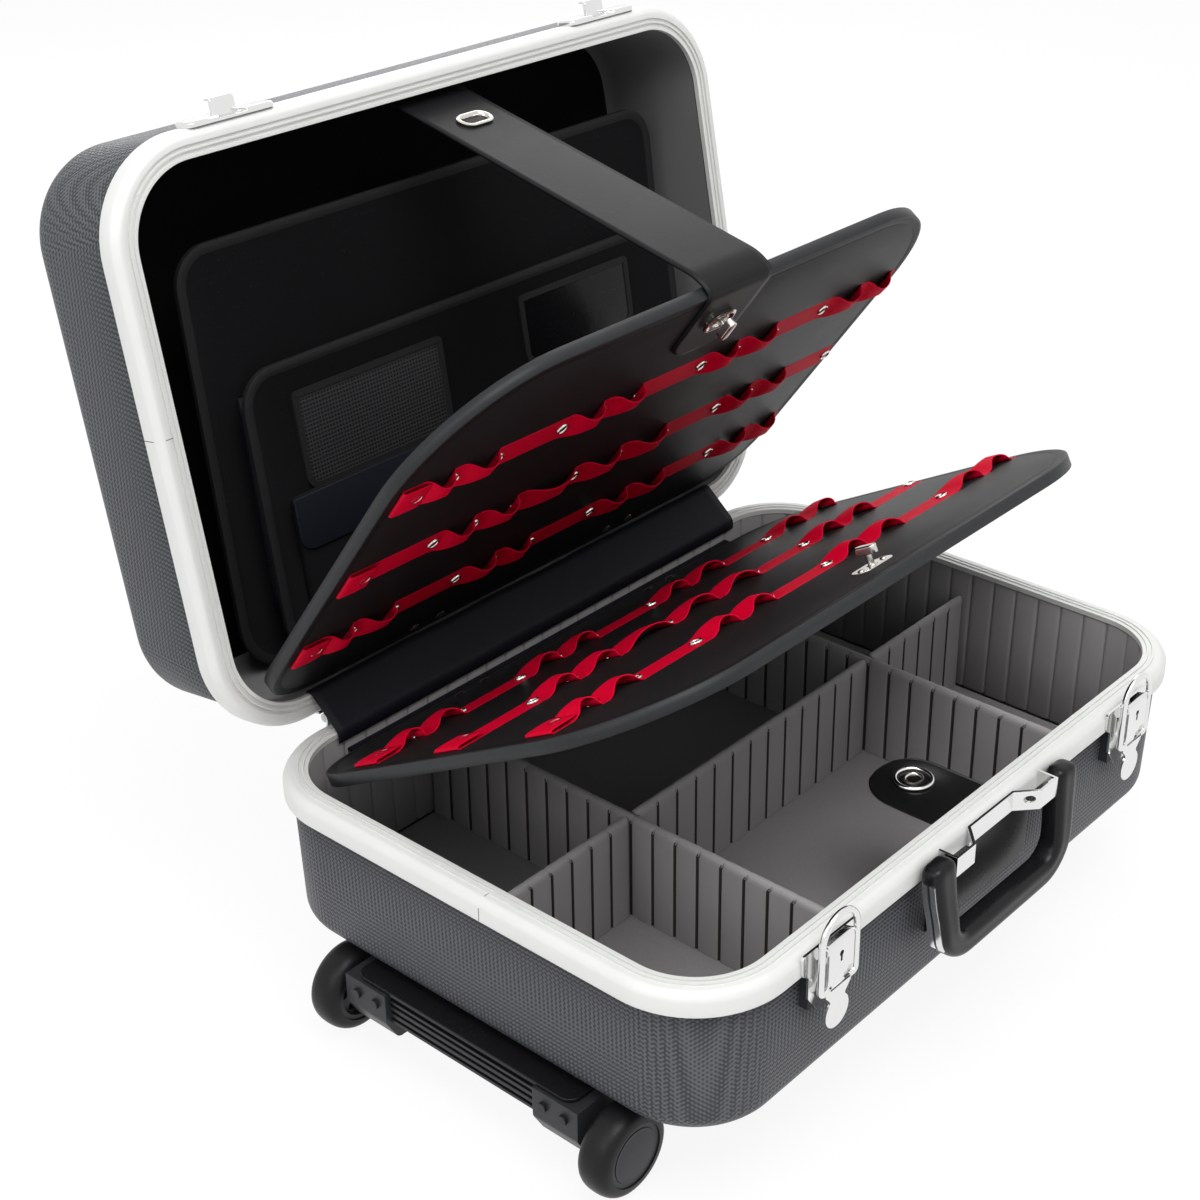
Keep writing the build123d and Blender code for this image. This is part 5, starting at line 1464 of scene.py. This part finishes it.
@dataclass
class StrapAndFlap:
    """Lid strap with its eyelets, and the closing flap on the base's front wall."""

    width: float = 56.0
    wall: float = 1.5
    root_z: float = 16.0
    tail: float = 58.0
    ring_place: float = 44.0
    flap_width: float = 52.0
    flap_length: float = 60.0
    flap_z: float = -8.6
    flap_corner: float = 24.0
    dome: float = 3.4

    def strap_path(self) -> list[tuple[float, float]]:
        """Strap of the open case, from the lid's front wall to its tongue's end.

        Returns:
            Its corner points as (Y, Z) in the closed case's axes.
        """
        to_lid = CASE.inverted() @ LID
        to_board = CASE.inverted() @ UPPER_BOARD
        root_y = self.wall - (SIZES.width / 2 + SIZES.lining_in - 17.5 * math.tan(math.radians(SIZES.lid_slope)) - 0.3)
        over = self.wall / 2 + 1.3
        top = SIZES.board_wall / 2
        edge = SIZES.board_height + 3
        points = [
            to_lid @ Vector((0, root_y, 0.6 + self.root_z)),
            to_board @ Vector((0, -edge, -top - 6)),
            to_board @ Vector((0, -edge, top + over)),
            to_board @ Vector((0, -(SIZES.board_height - self.tail), top + over)),
        ]
        return [(p.y, p.z) for p in points]

    def strap(self) -> None:
        """Folded vinyl strap that follows the lid at its root and the board at its tongue."""
        points = self.strap_path()
        path = resample(rounded_path(points, 7.0, 8), 3.0)
        count = 14
        section = [Vector((self.width * (i / count - 0.5), 0, 0)) for i in range(count + 1)]
        bm = bmesh.new()
        sweep(bm, section, strip_places(path))
        end = Vector((0, *points[-1]))
        for v in bm.verts:
            near_end = max(0.0, 1 - (Vector((0, v.co.y, v.co.z)) - end).length / 18.0)
            v.co.x *= 1 - 0.66 * near_end**2.4
            v.co.z += 0.5 * math.cos(v.co.x / self.width * math.pi)
        piece = make_piece(
            bm, "lid_strap", CASE, VINYL, "lid", replaces=["strap"], closed=False, wall=self.wall, ride=False,
            crease=70,
        )
        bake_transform(piece)

    def eyelets(self) -> None:
        """Rolled oval rings of the strap."""
        points = self.strap_path()
        a, b = Vector((0, *points[0])), Vector((0, *points[1]))
        rise = math.degrees(math.atan2(a.z - b.z, a.y - b.y))
        place = a + (b - a).normalized() * self.ring_place
        wall_place = CASE @ move(*place) @ turn_x(rise) @ move(0, 0, self.wall / 2 + 0.3)
        over = SIZES.board_wall / 2 + self.wall + 1.3
        lock_place = UPPER_BOARD @ move(0, -SIZES.lock_place, over + 0.1)
        self.ring("strap_wall_eyelet", wall_place, "lid", ["strap_eyelets"])
        self.ring("strap_lock_eyelet", lock_place, "upper_tool_board", [])

    def ring(self, name: str, place: Matrix, body: str, replaces: Sequence[str]) -> None:
        """One oval eyelet: a rolled rim round a slot.

        Args:
            name: Name of the piece.
            place: Its place, lying on the XY plane.
            body: Moving body it belongs to.
            replaces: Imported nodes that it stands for.
        """
        bm = bmesh.new()
        section = [Vector((0, 0, 0)), Vector((0.2, 0, 0.9)), Vector((-1.0, 0, 1.5)), Vector((-2.4, 0, 1.2))]
        section += [Vector((-3.4, 0, 0.2)), Vector((-3.4, 0, -1.6)), Vector((-2.6, 0, -1.6)), Vector((-2.4, 0, 0))]
        sweep(bm, section, ring_places(12.5, 7.5, [7.5] * 4, 10), closed_section=True)
        make_piece(bm, name, place, NICKEL, body, replaces=replaces, crease=60)

    def flap(self) -> None:
        """Glossy flap on the front wall, domed under its round ring."""
        width, length, low, corner = self.flap_width, self.flap_length, self.flap_z, self.flap_corner
        front = -SIZES.width / 2 + 0.3
        ring_y = SIZES.lower_board_y - SIZES.lock_place
        bm = bmesh.new()
        bmesh.ops.create_grid(
            bm, x_segments=26, y_segments=30, size=0.5,
            matrix=move(0, front + length / 2, low) @ Matrix.Diagonal((width, length, 1.0, 1.0)),
        )
        for v in bm.verts:
            past = max(0.0, v.co.y - (front + length - corner)) / corner
            v.co.x *= 1 - (1 - math.sqrt(max(0.0, 1 - past**2))) * 0.86
            away = math.hypot(v.co.x, v.co.y - ring_y)
            wave = 0.5 * math.sin(v.co.y * 0.11) * abs(v.co.x) / width
            v.co.z += self.dome * math.exp(-((away / 17.0) ** 2)) + wave
        piece = make_piece(
            bm, "closing_flap_leather", CASE, GLOSS_LEATHER, "base", replaces=["closing_flap"], closed=False,
            wall=-self.wall,
        )
        ring = bmesh.new()
        section = [Vector((2.0, 0, -0.4)), Vector((1.9, 0, 0.7)), Vector((0.9, 0, 1.3)), Vector((0, 0, 1.0))]
        section += [Vector((-0.4, 0, 0.2)), Vector((-0.4, 0, -0.4))]
        sweep(ring, section, ring_places(10.0, 10.0, [10.0] * 4, 10), closed_section=True)
        place = CASE @ move(0, ring_y, low + self.dome + self.wall)
        make_piece(ring, "flap_ring", place, CHROME, "base", replaces=["flap_eyelet"], crease=60)
        slot = bmesh.new()
        section = [Vector((0.8, 0, -0.2)), Vector((0.6, 0, 0.8)), Vector((0, 0, 1.0)), Vector((-0.6, 0, 0.6))]
        section += [Vector((-0.8, 0, -0.2))]
        sweep(slot, section, ring_places(5.4, 4.6, [4.5] * 4, 8), closed_section=True)
        make_piece(slot, "flap_slot_rim", place, NICKEL, "base", crease=60)

    def build(self) -> None:
        """Make the strap, the flap and their rings."""
        self.strap()
        self.eyelets()
        self.flap()
        dressed_node("lower_board_tab", "base", COVER_VINYL)


@dataclass
class Organizer:
    """Document panel, front pocket panel and their pockets, in the lid."""

    wall: float = 3.0
    root_corner: float = 34.0
    tip_corner: float = 24.0
    back: tuple[float, float, float, float, float] = (-191.0, 215.0, 50.0, -107.0, 34.0)
    front: tuple[float, float, float, float, float] = (-170.0, 212.0, 32.0, -29.0, 26.0)

    def root_y(self, root_z: float, wall: float) -> float:
        """Y at which a panel stands on the lid's back lining."""
        slope = math.tan(math.radians(SIZES.lid_slope))
        return SIZES.width / 2 + SIZES.lining_in - (root_z + 2 * wall) * slope - 0.3

    def lean(self, panel: tuple[float, float, float, float, float]) -> tuple[Matrix, float]:
        """Place and length of a panel.

        Args:
            panel: Its left X, right X, root Z, tip Y and tip Z in the closed lid.

        Returns:
            The place, with the root at Y = 0 and the front at Z = 0, and the length.
        """
        left, right, root_z, tip_y, tip_z = panel
        root_y = self.root_y(root_z, self.wall)
        angle = math.degrees(math.atan2(root_z - tip_z, root_y - tip_y))
        length = math.hypot(root_y - tip_y, root_z - tip_z)
        return LID @ move((left + right) / 2, root_y, root_z) @ turn_x(angle), length

    def bound_panel(self, name: str, panel: tuple[float, float, float, float, float], node: str) -> None:
        """Cloth panel with a tape bound round its edge.

        Args:
            name: Name of the piece.
            panel: Its left X, right X, root Z, tip Y and tip Z in the closed lid.
            node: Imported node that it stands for.
        """
        place, length = self.lean(panel)
        width = panel[1] - panel[0]
        bm = bmesh.new()
        corners = {(sx, -1): self.tip_corner for sx in (-1, 1)}
        corners.update({(sx, 1): self.root_corner for sx in (-1, 1)})
        slab(bm, (width, length, self.wall), (0, -length / 2, self.wall / 2), corners, 0.0, 12)
        sides = [f for f in bm.faces if abs(f.normal.z) < 0.5]
        for f in sides:
            f.material_index = 1
        for sign in (1, -1):
            face = max(bm.faces, key=lambda f: sign * f.calc_center_median().z)
            rings = []
            for thickness, depth in ((0.9, 0.5), (4.2, 0.15), (0.9, -0.65)):
                rings += bmesh.ops.inset_region(
                    bm, faces=[face], thickness=thickness, depth=depth, use_even_offset=True
                )["faces"]
            for f in rings:
                f.material_index = 1
        piece = make_piece(
            bm, name, place, DARK_CLOTH, "lid", replaces=[node], crease=60, closed=False, extra=[BINDING]
        )

    def window(self, name: str, low: tuple[float, float], high: tuple[float, float], finish: Finish) -> None:
        """Pocket window with a taped edge on the front panel.

        Args:
            name: Name of the window.
            low: X and Y of its lower corner in the closed lid.
            high: X and Y of its upper corner.
            finish: Finish of the pane.
        """
        place, _ = self.lean(self.front)
        to_panel = place.inverted() @ LID
        x0, y0 = low
        x1, y1 = high
        middle = to_panel @ Vector(((x0 + x1) / 2, (y0 + y1) / 2, self.front[2]))
        size = (x1 - x0, y1 - y0, 1.0)
        pane = bmesh.new()
        slab(pane, size, (middle.x, middle.y, -0.5), {(1, -1): 3.0, (-1, -1): 3.0, (1, 1): 9.0, (-1, 1): 9.0}, 0.2, 5)
        make_piece(pane, name + "_pane", place, finish, "lid")
        tape = bmesh.new()
        section = [Vector((0.6, 0, 0)), Vector((0.6, 0, -1.5)), Vector((-3.4, 0, -1.7)), Vector((-3.8, 0, -1.0))]
        section += [Vector((-3.8, 0, 0))]
        places = [
            move(middle.x, middle.y, 0) @ p for p in ring_places(size[0] / 2, size[1] / 2, [9.0, 9.0, 3.0, 3.0], 5)
        ]
        sweep(tape, section, places, closed_section=True)
        make_piece(tape, name + "_tape", place, BINDING, "lid")

    def gussets(self) -> None:
        """Soft side walls between the two panels, each with one inward pleat."""
        place_front, length = self.lean(self.front)
        place_back, _ = self.lean(self.back)
        to_front = LID.inverted() @ place_front
        to_back = LID.inverted() @ place_back
        half = (self.front[1] - self.front[0]) / 2
        for index, sign in enumerate((-1, 1)):
            bm = bmesh.new()
            rows = []
            for step in range(13):
                y = -length * (0.2 + 0.72 * step / 12)
                a = to_front @ Vector((sign * (half - 6), y, self.wall + 0.3))
                lid_y = a.y
                back_origin = to_back @ Vector((0, 0, 0))
                slope = (self.back[2] - self.back[4]) / (back_origin.y - self.back[3])
                z_back = self.back[2] - (back_origin.y - lid_y) * slope - 0.3
                rows.append((a, Vector((a.x, lid_y, z_back))))
            previous = None
            for a, b in rows:
                line = []
                for k in range(9):
                    t = k / 8
                    p = a.lerp(b, t)
                    p.x -= sign * 3.0 * math.sin(math.pi * t) ** 1.2
                    line.append(bm.verts.new(p))
                edges = [bm.edges.new(pair) for pair in zip(line, line[1:])]
                if previous is not None:
                    bmesh.ops.bridge_loops(bm, edges=previous + edges)
                previous = edges
            piece = make_piece(
                bm, f"gusset_{index + 1}", LID, GUSSET_CLOTH, "lid",
                replaces=["organizer_gussets"] if index == 0 else (), closed=False, wall=1.0, crease=70,
            )

    def flap_pocket(self) -> None:
        """Bag pocket low on the front panel with a folded flap over its mouth."""
        place, _ = self.lean(self.front)
        to_panel = place.inverted() @ LID
        low = to_panel @ Vector((-151, 51, self.front[2]))
        high = to_panel @ Vector((-40, 150, self.front[2]))
        x0, x1, y0 = low.x, high.x, low.y
        y1 = min(high.y, -6.0)
        bm = bmesh.new()
        slab(
            bm, (x1 - x0, y1 - y0, 5.6), ((x0 + x1) / 2, (y0 + y1) / 2, -3.1),
            {(1, -1): 4.0, (-1, -1): 4.0}, 1.8, 6,
        )
        bag = make_piece(
            bm, "flap_pocket_bag", place, DARK_CLOTH, "lid", replaces=["organizer_flap_pocket"], crease=60
        )
        flap = bmesh.new()
        slab(
            flap, (x1 - x0 + 4, 34.0, 1.4), ((x0 + x1) / 2, y0 + 17, -6.9), {(1, 1): 10.0, (-1, 1): 10.0}, 0.5, 6
        )
        piece = make_piece(flap, "flap_pocket_flap", place, GUSSET_CLOTH, "lid", crease=60)

    def build(self) -> None:
        """Make the organizer."""
        self.bound_panel("document_panel", self.back, "organizer_back")
        self.bound_panel("pocket_panel", self.front, "organizer_front")
        self.window("net_window", (-135, -9), (-14, 52), NET)
        self.window("clear_window", (58, -14), (163, 33), CLEAR_FILM)
        self.gussets()
        self.flap_pocket()


@dataclass
class Hardware:
    """Latches, carry handle, wheels, feet and pull handle."""

    wheel_x: float = -234.4
    wheel_z: float = -126.7
    wheel_radius: float = 27.0
    wheel_face: float = 94.0
    wheel_width: float = 22.0
    latch_x: float = 152.0
    grip_corner: float = 20.0

    def latches(self) -> None:
        """Plated latch pieces, keyholes and bails."""
        for node in ("latch_plates", "latch_pins"):
            dressed_node(node, "base", CHROME, soften=0.2)
        dressed_node("latch_spacers", "base", GREY_PLASTIC)
        dressed_node("latch_catches", "lid", CHROME, soften=0.25)
        for side in ("left", "right"):
            dressed_node(side + "_latch_lever", side + "_lever", CHROME, soften=0.25)
            dressed_node(side + "_latch_bail", side + "_bail", CHROME)
            middle = move(-self.latch_x if side == "left" else self.latch_x, SIZES.front_y - 7.2, -9.0)
            bm = bmesh.new()
            bmesh.ops.create_cube(bm, size=1.0, matrix=middle @ Matrix.Diagonal((6.5, 0.4, 9.5, 1.0)))
            bmesh.ops.bevel(
                bm, geom=list(bm.edges), offset=0.15, affect="EDGES", segments=1, profile=0.5, material=-1
            )
            make_piece(bm, side + "_lock_core", CASE, DARK_HOLE_AND_REFLECTION, side + "_lever")

    def handle(self) -> None:
        """Carry handle, its bracket, pins and backing plate."""
        dressed_node("handle_bracket", "base", CHROME, soften=0.3)
        dressed_node("handle_pins", "base", STEEL)
        dressed_node("handle_backing", "base", BLACK_PLASTIC, soften=0.5)
        self.grip()
        bm = bmesh.new()
        turned(bm, [(0, 0), (2.0, 0), (1.9, -0.5), (1.1, -1.1), (0, -1.2)], 16, closed=False)
        y = -(SIZES.width / 2 + SIZES.shell_out) + 32 * math.tan(math.radians(SIZES.base_slope)) - 2.3
        make_piece(bm, "backing_rivet", CASE @ move(-13, y, -32), NICKEL, "base")

    def grip_places(self) -> list[Matrix]:
        """Places along the grip's middle line.

        Returns:
            The places, X across a leg, Y through it and Z along it, each scaled to the section there.
        """
        points = [Vector((-63.4, -183.0, 0.2)), Vector((-63.3, -183.0, -1.2)), Vector((-63.1, -183.0, -4.0))]
        points += [Vector((-62.7, -183.0, -9.0)), Vector((-61.6, -183.9, -22.0)), Vector((-60.0, -185.2, -34.0))]
        corner = self.grip_corner
        for step in range(9):
            a = math.radians(190 + 80 * step / 8)
            points.append(Vector((-39.0 + corner * math.cos(a), -186.1, -42.0 + corner * math.sin(a))))
        points.append(Vector((-20.0, -186.1, -62.0)))
        points += [Vector((-p.x, p.y, p.z)) for p in reversed(points)]
        last = len(points) - 1
        places = []
        for i, p in enumerate(points):
            a, b = points[max(i - 1, 0)], points[min(i + 1, last)]
            side = min(i, last - i)
            down = min(1.0, max(0.0, -p.z / 62.0))
            close = (0.55, 0.84, 0.97)[side] if side < 3 else 1.0
            size = Matrix.Diagonal(((21.0 - 5.0 * down) * close, (14.4 + 1.0 * down) * close, 1.0, 1.0))
            places.append(move(*p) @ turn_y(math.degrees(math.atan2(b.x - a.x, b.z - a.z))) @ size)
        return places

    def grip(self) -> None:
        """Bowed grip with soft legs, a mould seam along it and two plated stripes on one leg."""
        places = self.grip_places()
        count = 28
        section = []
        for i in range(count):
            a = math.tau * i / count
            c, s = math.cos(a), math.sin(a)
            groove = 0.94 if i in (7, 21) else 1.0
            section.append(
                Vector((0.5 * math.copysign(abs(c) ** 0.62, c), 0.5 * groove * math.copysign(abs(s) ** 0.62, s), 0))
            )
        bm = bmesh.new()
        first, last = sweep(bm, section, places, closed_section=True)
        bmesh.ops.holes_fill(bm, edges=first + last)
        piece = make_piece(
            bm, "carry_grip", CASE, BLACK_PLASTIC, "handle", replaces=["carry_handle"], crease=70
        )
        smooth = piece.modifiers.new("smooth", "SUBSURF")
        smooth.levels = smooth.render_levels = 1
        stripes = bmesh.new()
        leg = places[3:9]
        for y in (-0.17, 0.17):
            line = [p @ move(0.49, y, 0) for p in leg]
            flat = [Vector((a, b, 0)) for a, b in ((-0.05, -0.12), (-0.05, 0.12), (0.03, 0.12), (0.03, -0.12))]
            a, b = sweep(stripes, flat, line, closed_section=True)
            bmesh.ops.holes_fill(stripes, edges=a + b)
        make_piece(stripes, "grip_stripes", CASE, CHROME, "handle", crease=40)

    def wheels(self) -> None:
        """Tyres turned with a soft crown, spoked hubs and caps."""
        r, face, width = self.wheel_radius, self.wheel_face, self.wheel_width
        outer = face + width
        tyre = []
        for step in range(17):
            a = math.pi * step / 16
            crown = math.sin(a) ** 0.72
            across = 0.5 - 0.5 * math.copysign(abs(math.cos(a)) ** 0.8, math.cos(a))
            tyre.append((19.1 + (r - 19.1) * crown, face + 0.4 + (width - 0.8) * across))
        cap = [(0, outer - 3.4), (15.6, outer - 3.4), (15.9, outer - 1.4), (15.4, outer - 0.9), (11, outer - 0.5)]
        cap += [(5, outer - 0.25), (0, outer - 0.2)]
        for side, flip in (("front", Matrix.Scale(-1, 4, (0, 1, 0))), ("back", Matrix.Identity(4))):
            place = CASE @ move(self.wheel_x, 0, self.wheel_z) @ flip
            bm = bmesh.new()
            turned(bm, tyre, 64)
            make_piece(bm, side + "_tyre_tread", place, TYRE, side + "_wheel", replaces=[side + "_tyre"])
            dressed_node(side + "_hub", side + "_wheel", GREY_PLASTIC)
            bm = bmesh.new()
            turned(bm, cap, 48, closed=False)
            make_piece(bm, side + "_hub_cap", place, GREY_PLASTIC, side + "_wheel")

    def carrier(self) -> None:
        """Wheel carrier, feet and pull handle."""
        for node, finish, soften in (
            ("mounting_plate", BLACK_PLASTIC, 0.5),
            ("axle_blocks", GREY_PLASTIC, 0.6),
            ("block_screws", BLACK_RAIL, 0.2),
            ("cross_rail", BLACK_RAIL, 0.15),
            ("axle", STEEL, 0.3),
            ("feet", BLACK_PLASTIC, 0.8),
            ("pull_outer_tubes", TUBE_METAL, 0.0),
        ):
            dressed_node(node, "base", finish, soften=soften)
        dressed_node("pull_middle_tubes", "middle_stage", TUBE_METAL)
        dressed_node("pull_inner_tubes", "inner_stage", TUBE_METAL)
        dressed_node("pull_grip", "inner_stage", BLACK_PLASTIC)
        dressed_node("grip_button", "release_button", GREY_PLASTIC)

    def build(self) -> None:
        """Make all hardware."""
        self.latches()
        self.handle()
        self.wheels()
        self.carrier()


@dataclass
class Studio:
    """Pale floor, soft lights and the camera."""

    camera_at: tuple[float, float, float] = (-861.7, -665.8, 665.0)
    look_at: tuple[float, float, float] = (-79.4, 0.0, 121.1)
    lens: float = 62.95
    shift: tuple[float, float] = (-0.05, -0.0247)
    lamps: tuple[tuple[str, tuple[float, float, float], float, float], ...] = (
        ("key", (-0.4, -0.8, 2.2), 1.4, 36.0),
        ("side", (-1.7, -0.2, 1.3), 1.2, 9.0),
        ("back", (1.2, 1.5, 1.35), 1.5, 16.0),
    )

    def backdrop(self) -> None:
        """Wide white floor that keeps the object's shadow."""
        bm = bmesh.new()
        bmesh.ops.create_grid(bm, x_segments=8, y_segments=8, size=6.0)
        mesh = bpy.data.meshes.new("studio_floor")
        bm.to_mesh(mesh)
        bm.free()
        made = bpy.data.materials.new("studio_floor")
        made.use_nodes = True
        made.node_tree.nodes.clear()
        graph = Graph(made.node_tree)
        diffuse = graph.node("ShaderNodeBsdfDiffuse", {"Color": (0.9, 0.9, 0.9, 1.0)})
        glow = graph.node("ShaderNodeEmission", {"Color": (1.0, 1.0, 1.0, 1.0), "Strength": 1.0})
        path = graph.node("ShaderNodeLightPath")
        seen = graph.math("MAXIMUM", path.outputs["Is Camera Ray"], path.outputs["Is Glossy Ray"])
        seen = graph.math("MAXIMUM", seen, path.outputs["Is Transmission Ray"])
        share = graph.math("MULTIPLY", seen, 0.9)
        mix = graph.node("ShaderNodeMixShader", {0: share, 1: diffuse.outputs[0], 2: glow.outputs[0]})
        graph.node("ShaderNodeOutputMaterial", {"Surface": mix.outputs[0]})
        mesh.materials.append(made)
        floor = bpy.data.objects.new("studio_floor", mesh)
        floor.location = (0, 0, CAD_BOX[0][2] - 0.0005)
        bpy.context.scene.collection.objects.link(floor)

    def world(self) -> None:
        """Even light from all round, seen as white by the camera and by reflections."""
        world = bpy.data.worlds.new("studio_world")
        world.use_nodes = True
        world.node_tree.nodes.clear()
        graph = Graph(world.node_tree)
        path = graph.node("ShaderNodeLightPath")
        seen = graph.math("MAXIMUM", path.outputs["Is Camera Ray"], path.outputs["Is Transmission Ray"])
        seen = graph.math("MAXIMUM", seen, path.outputs["Is Glossy Ray"])
        direction = graph.node("ShaderNodeTexCoord").outputs["Generated"]
        height = graph.node("ShaderNodeSeparateXYZ", {0: direction}).outputs[2]
        sky = graph.node("ShaderNodeMapRange", {0: height, 1: -0.1, 2: 1.0, 3: 0.42, 4: 0.8}).outputs[0]
        strength = graph.math("MAXIMUM", seen, sky)
        light = graph.node("ShaderNodeBackground", {"Color": (1.0, 1.0, 1.0, 1.0), "Strength": strength})
        graph.node("ShaderNodeOutputWorld", {"Surface": light.outputs[0]})
        bpy.context.scene.world = world

    def lamp(self, name: str, at: tuple[float, float, float], size: float, power: float) -> None:
        """Square soft lamp that faces the case.

        Args:
            name: Name of the lamp.
            at: Its place in metres.
            size: Its side in metres.
            power: Its power in watts.
        """
        data = bpy.data.lights.new(name, "AREA")
        data.size = size
        data.energy = power
        lamp = bpy.data.objects.new(name, data)
        lamp.location = Vector(at)
        aim = CASE @ Vector((0, 0, 60)) - lamp.location
        lamp.rotation_euler = aim.to_track_quat("-Z", "Y").to_euler()
        bpy.context.scene.collection.objects.link(lamp)

    def camera(self) -> None:
        """Camera at the photograph's viewing angle."""
        data = bpy.data.cameras.new("camera")
        data.sensor_width = 36.0
        data.lens = self.lens
        data.shift_x, data.shift_y = self.shift
        data.clip_start, data.clip_end = 0.05, 50.0
        camera = bpy.data.objects.new("camera", data)
        at, target = CASE @ Vector(self.camera_at), CASE @ Vector(self.look_at)
        camera.location = at
        camera.rotation_euler = (target - at).to_track_quat("-Z", "Y").to_euler()
        bpy.context.scene.collection.objects.link(camera)
        bpy.context.scene.camera = camera

    def build(self) -> None:
        """Set the whole stage."""
        self.backdrop()
        self.world()
        for lamp in self.lamps:
            self.lamp(*lamp)
        self.camera()
        bpy.context.scene.view_settings.view_transform = "Standard"


def main() -> None:
    """Build every sub-assembly in order."""
    logging.basicConfig(level=logging.INFO, format="%(name)s %(message)s")
    Studio().build()
    for part in (
        HalfShells(),
        Lining(),
        HingeCover(),
        ToolBoard("lower_board", LOWER_BOARD, "lower_tool_board", "lower_knob", 5),
        ToolBoard("upper_board", UPPER_BOARD, "upper_tool_board", "upper_knob", 8),
        StrapAndFlap(),
        Organizer(),
        Hardware(),
    ):
        LOG.info("building %s", type(part).__name__)
        part.build()


if __name__ == "__main__":
    main()
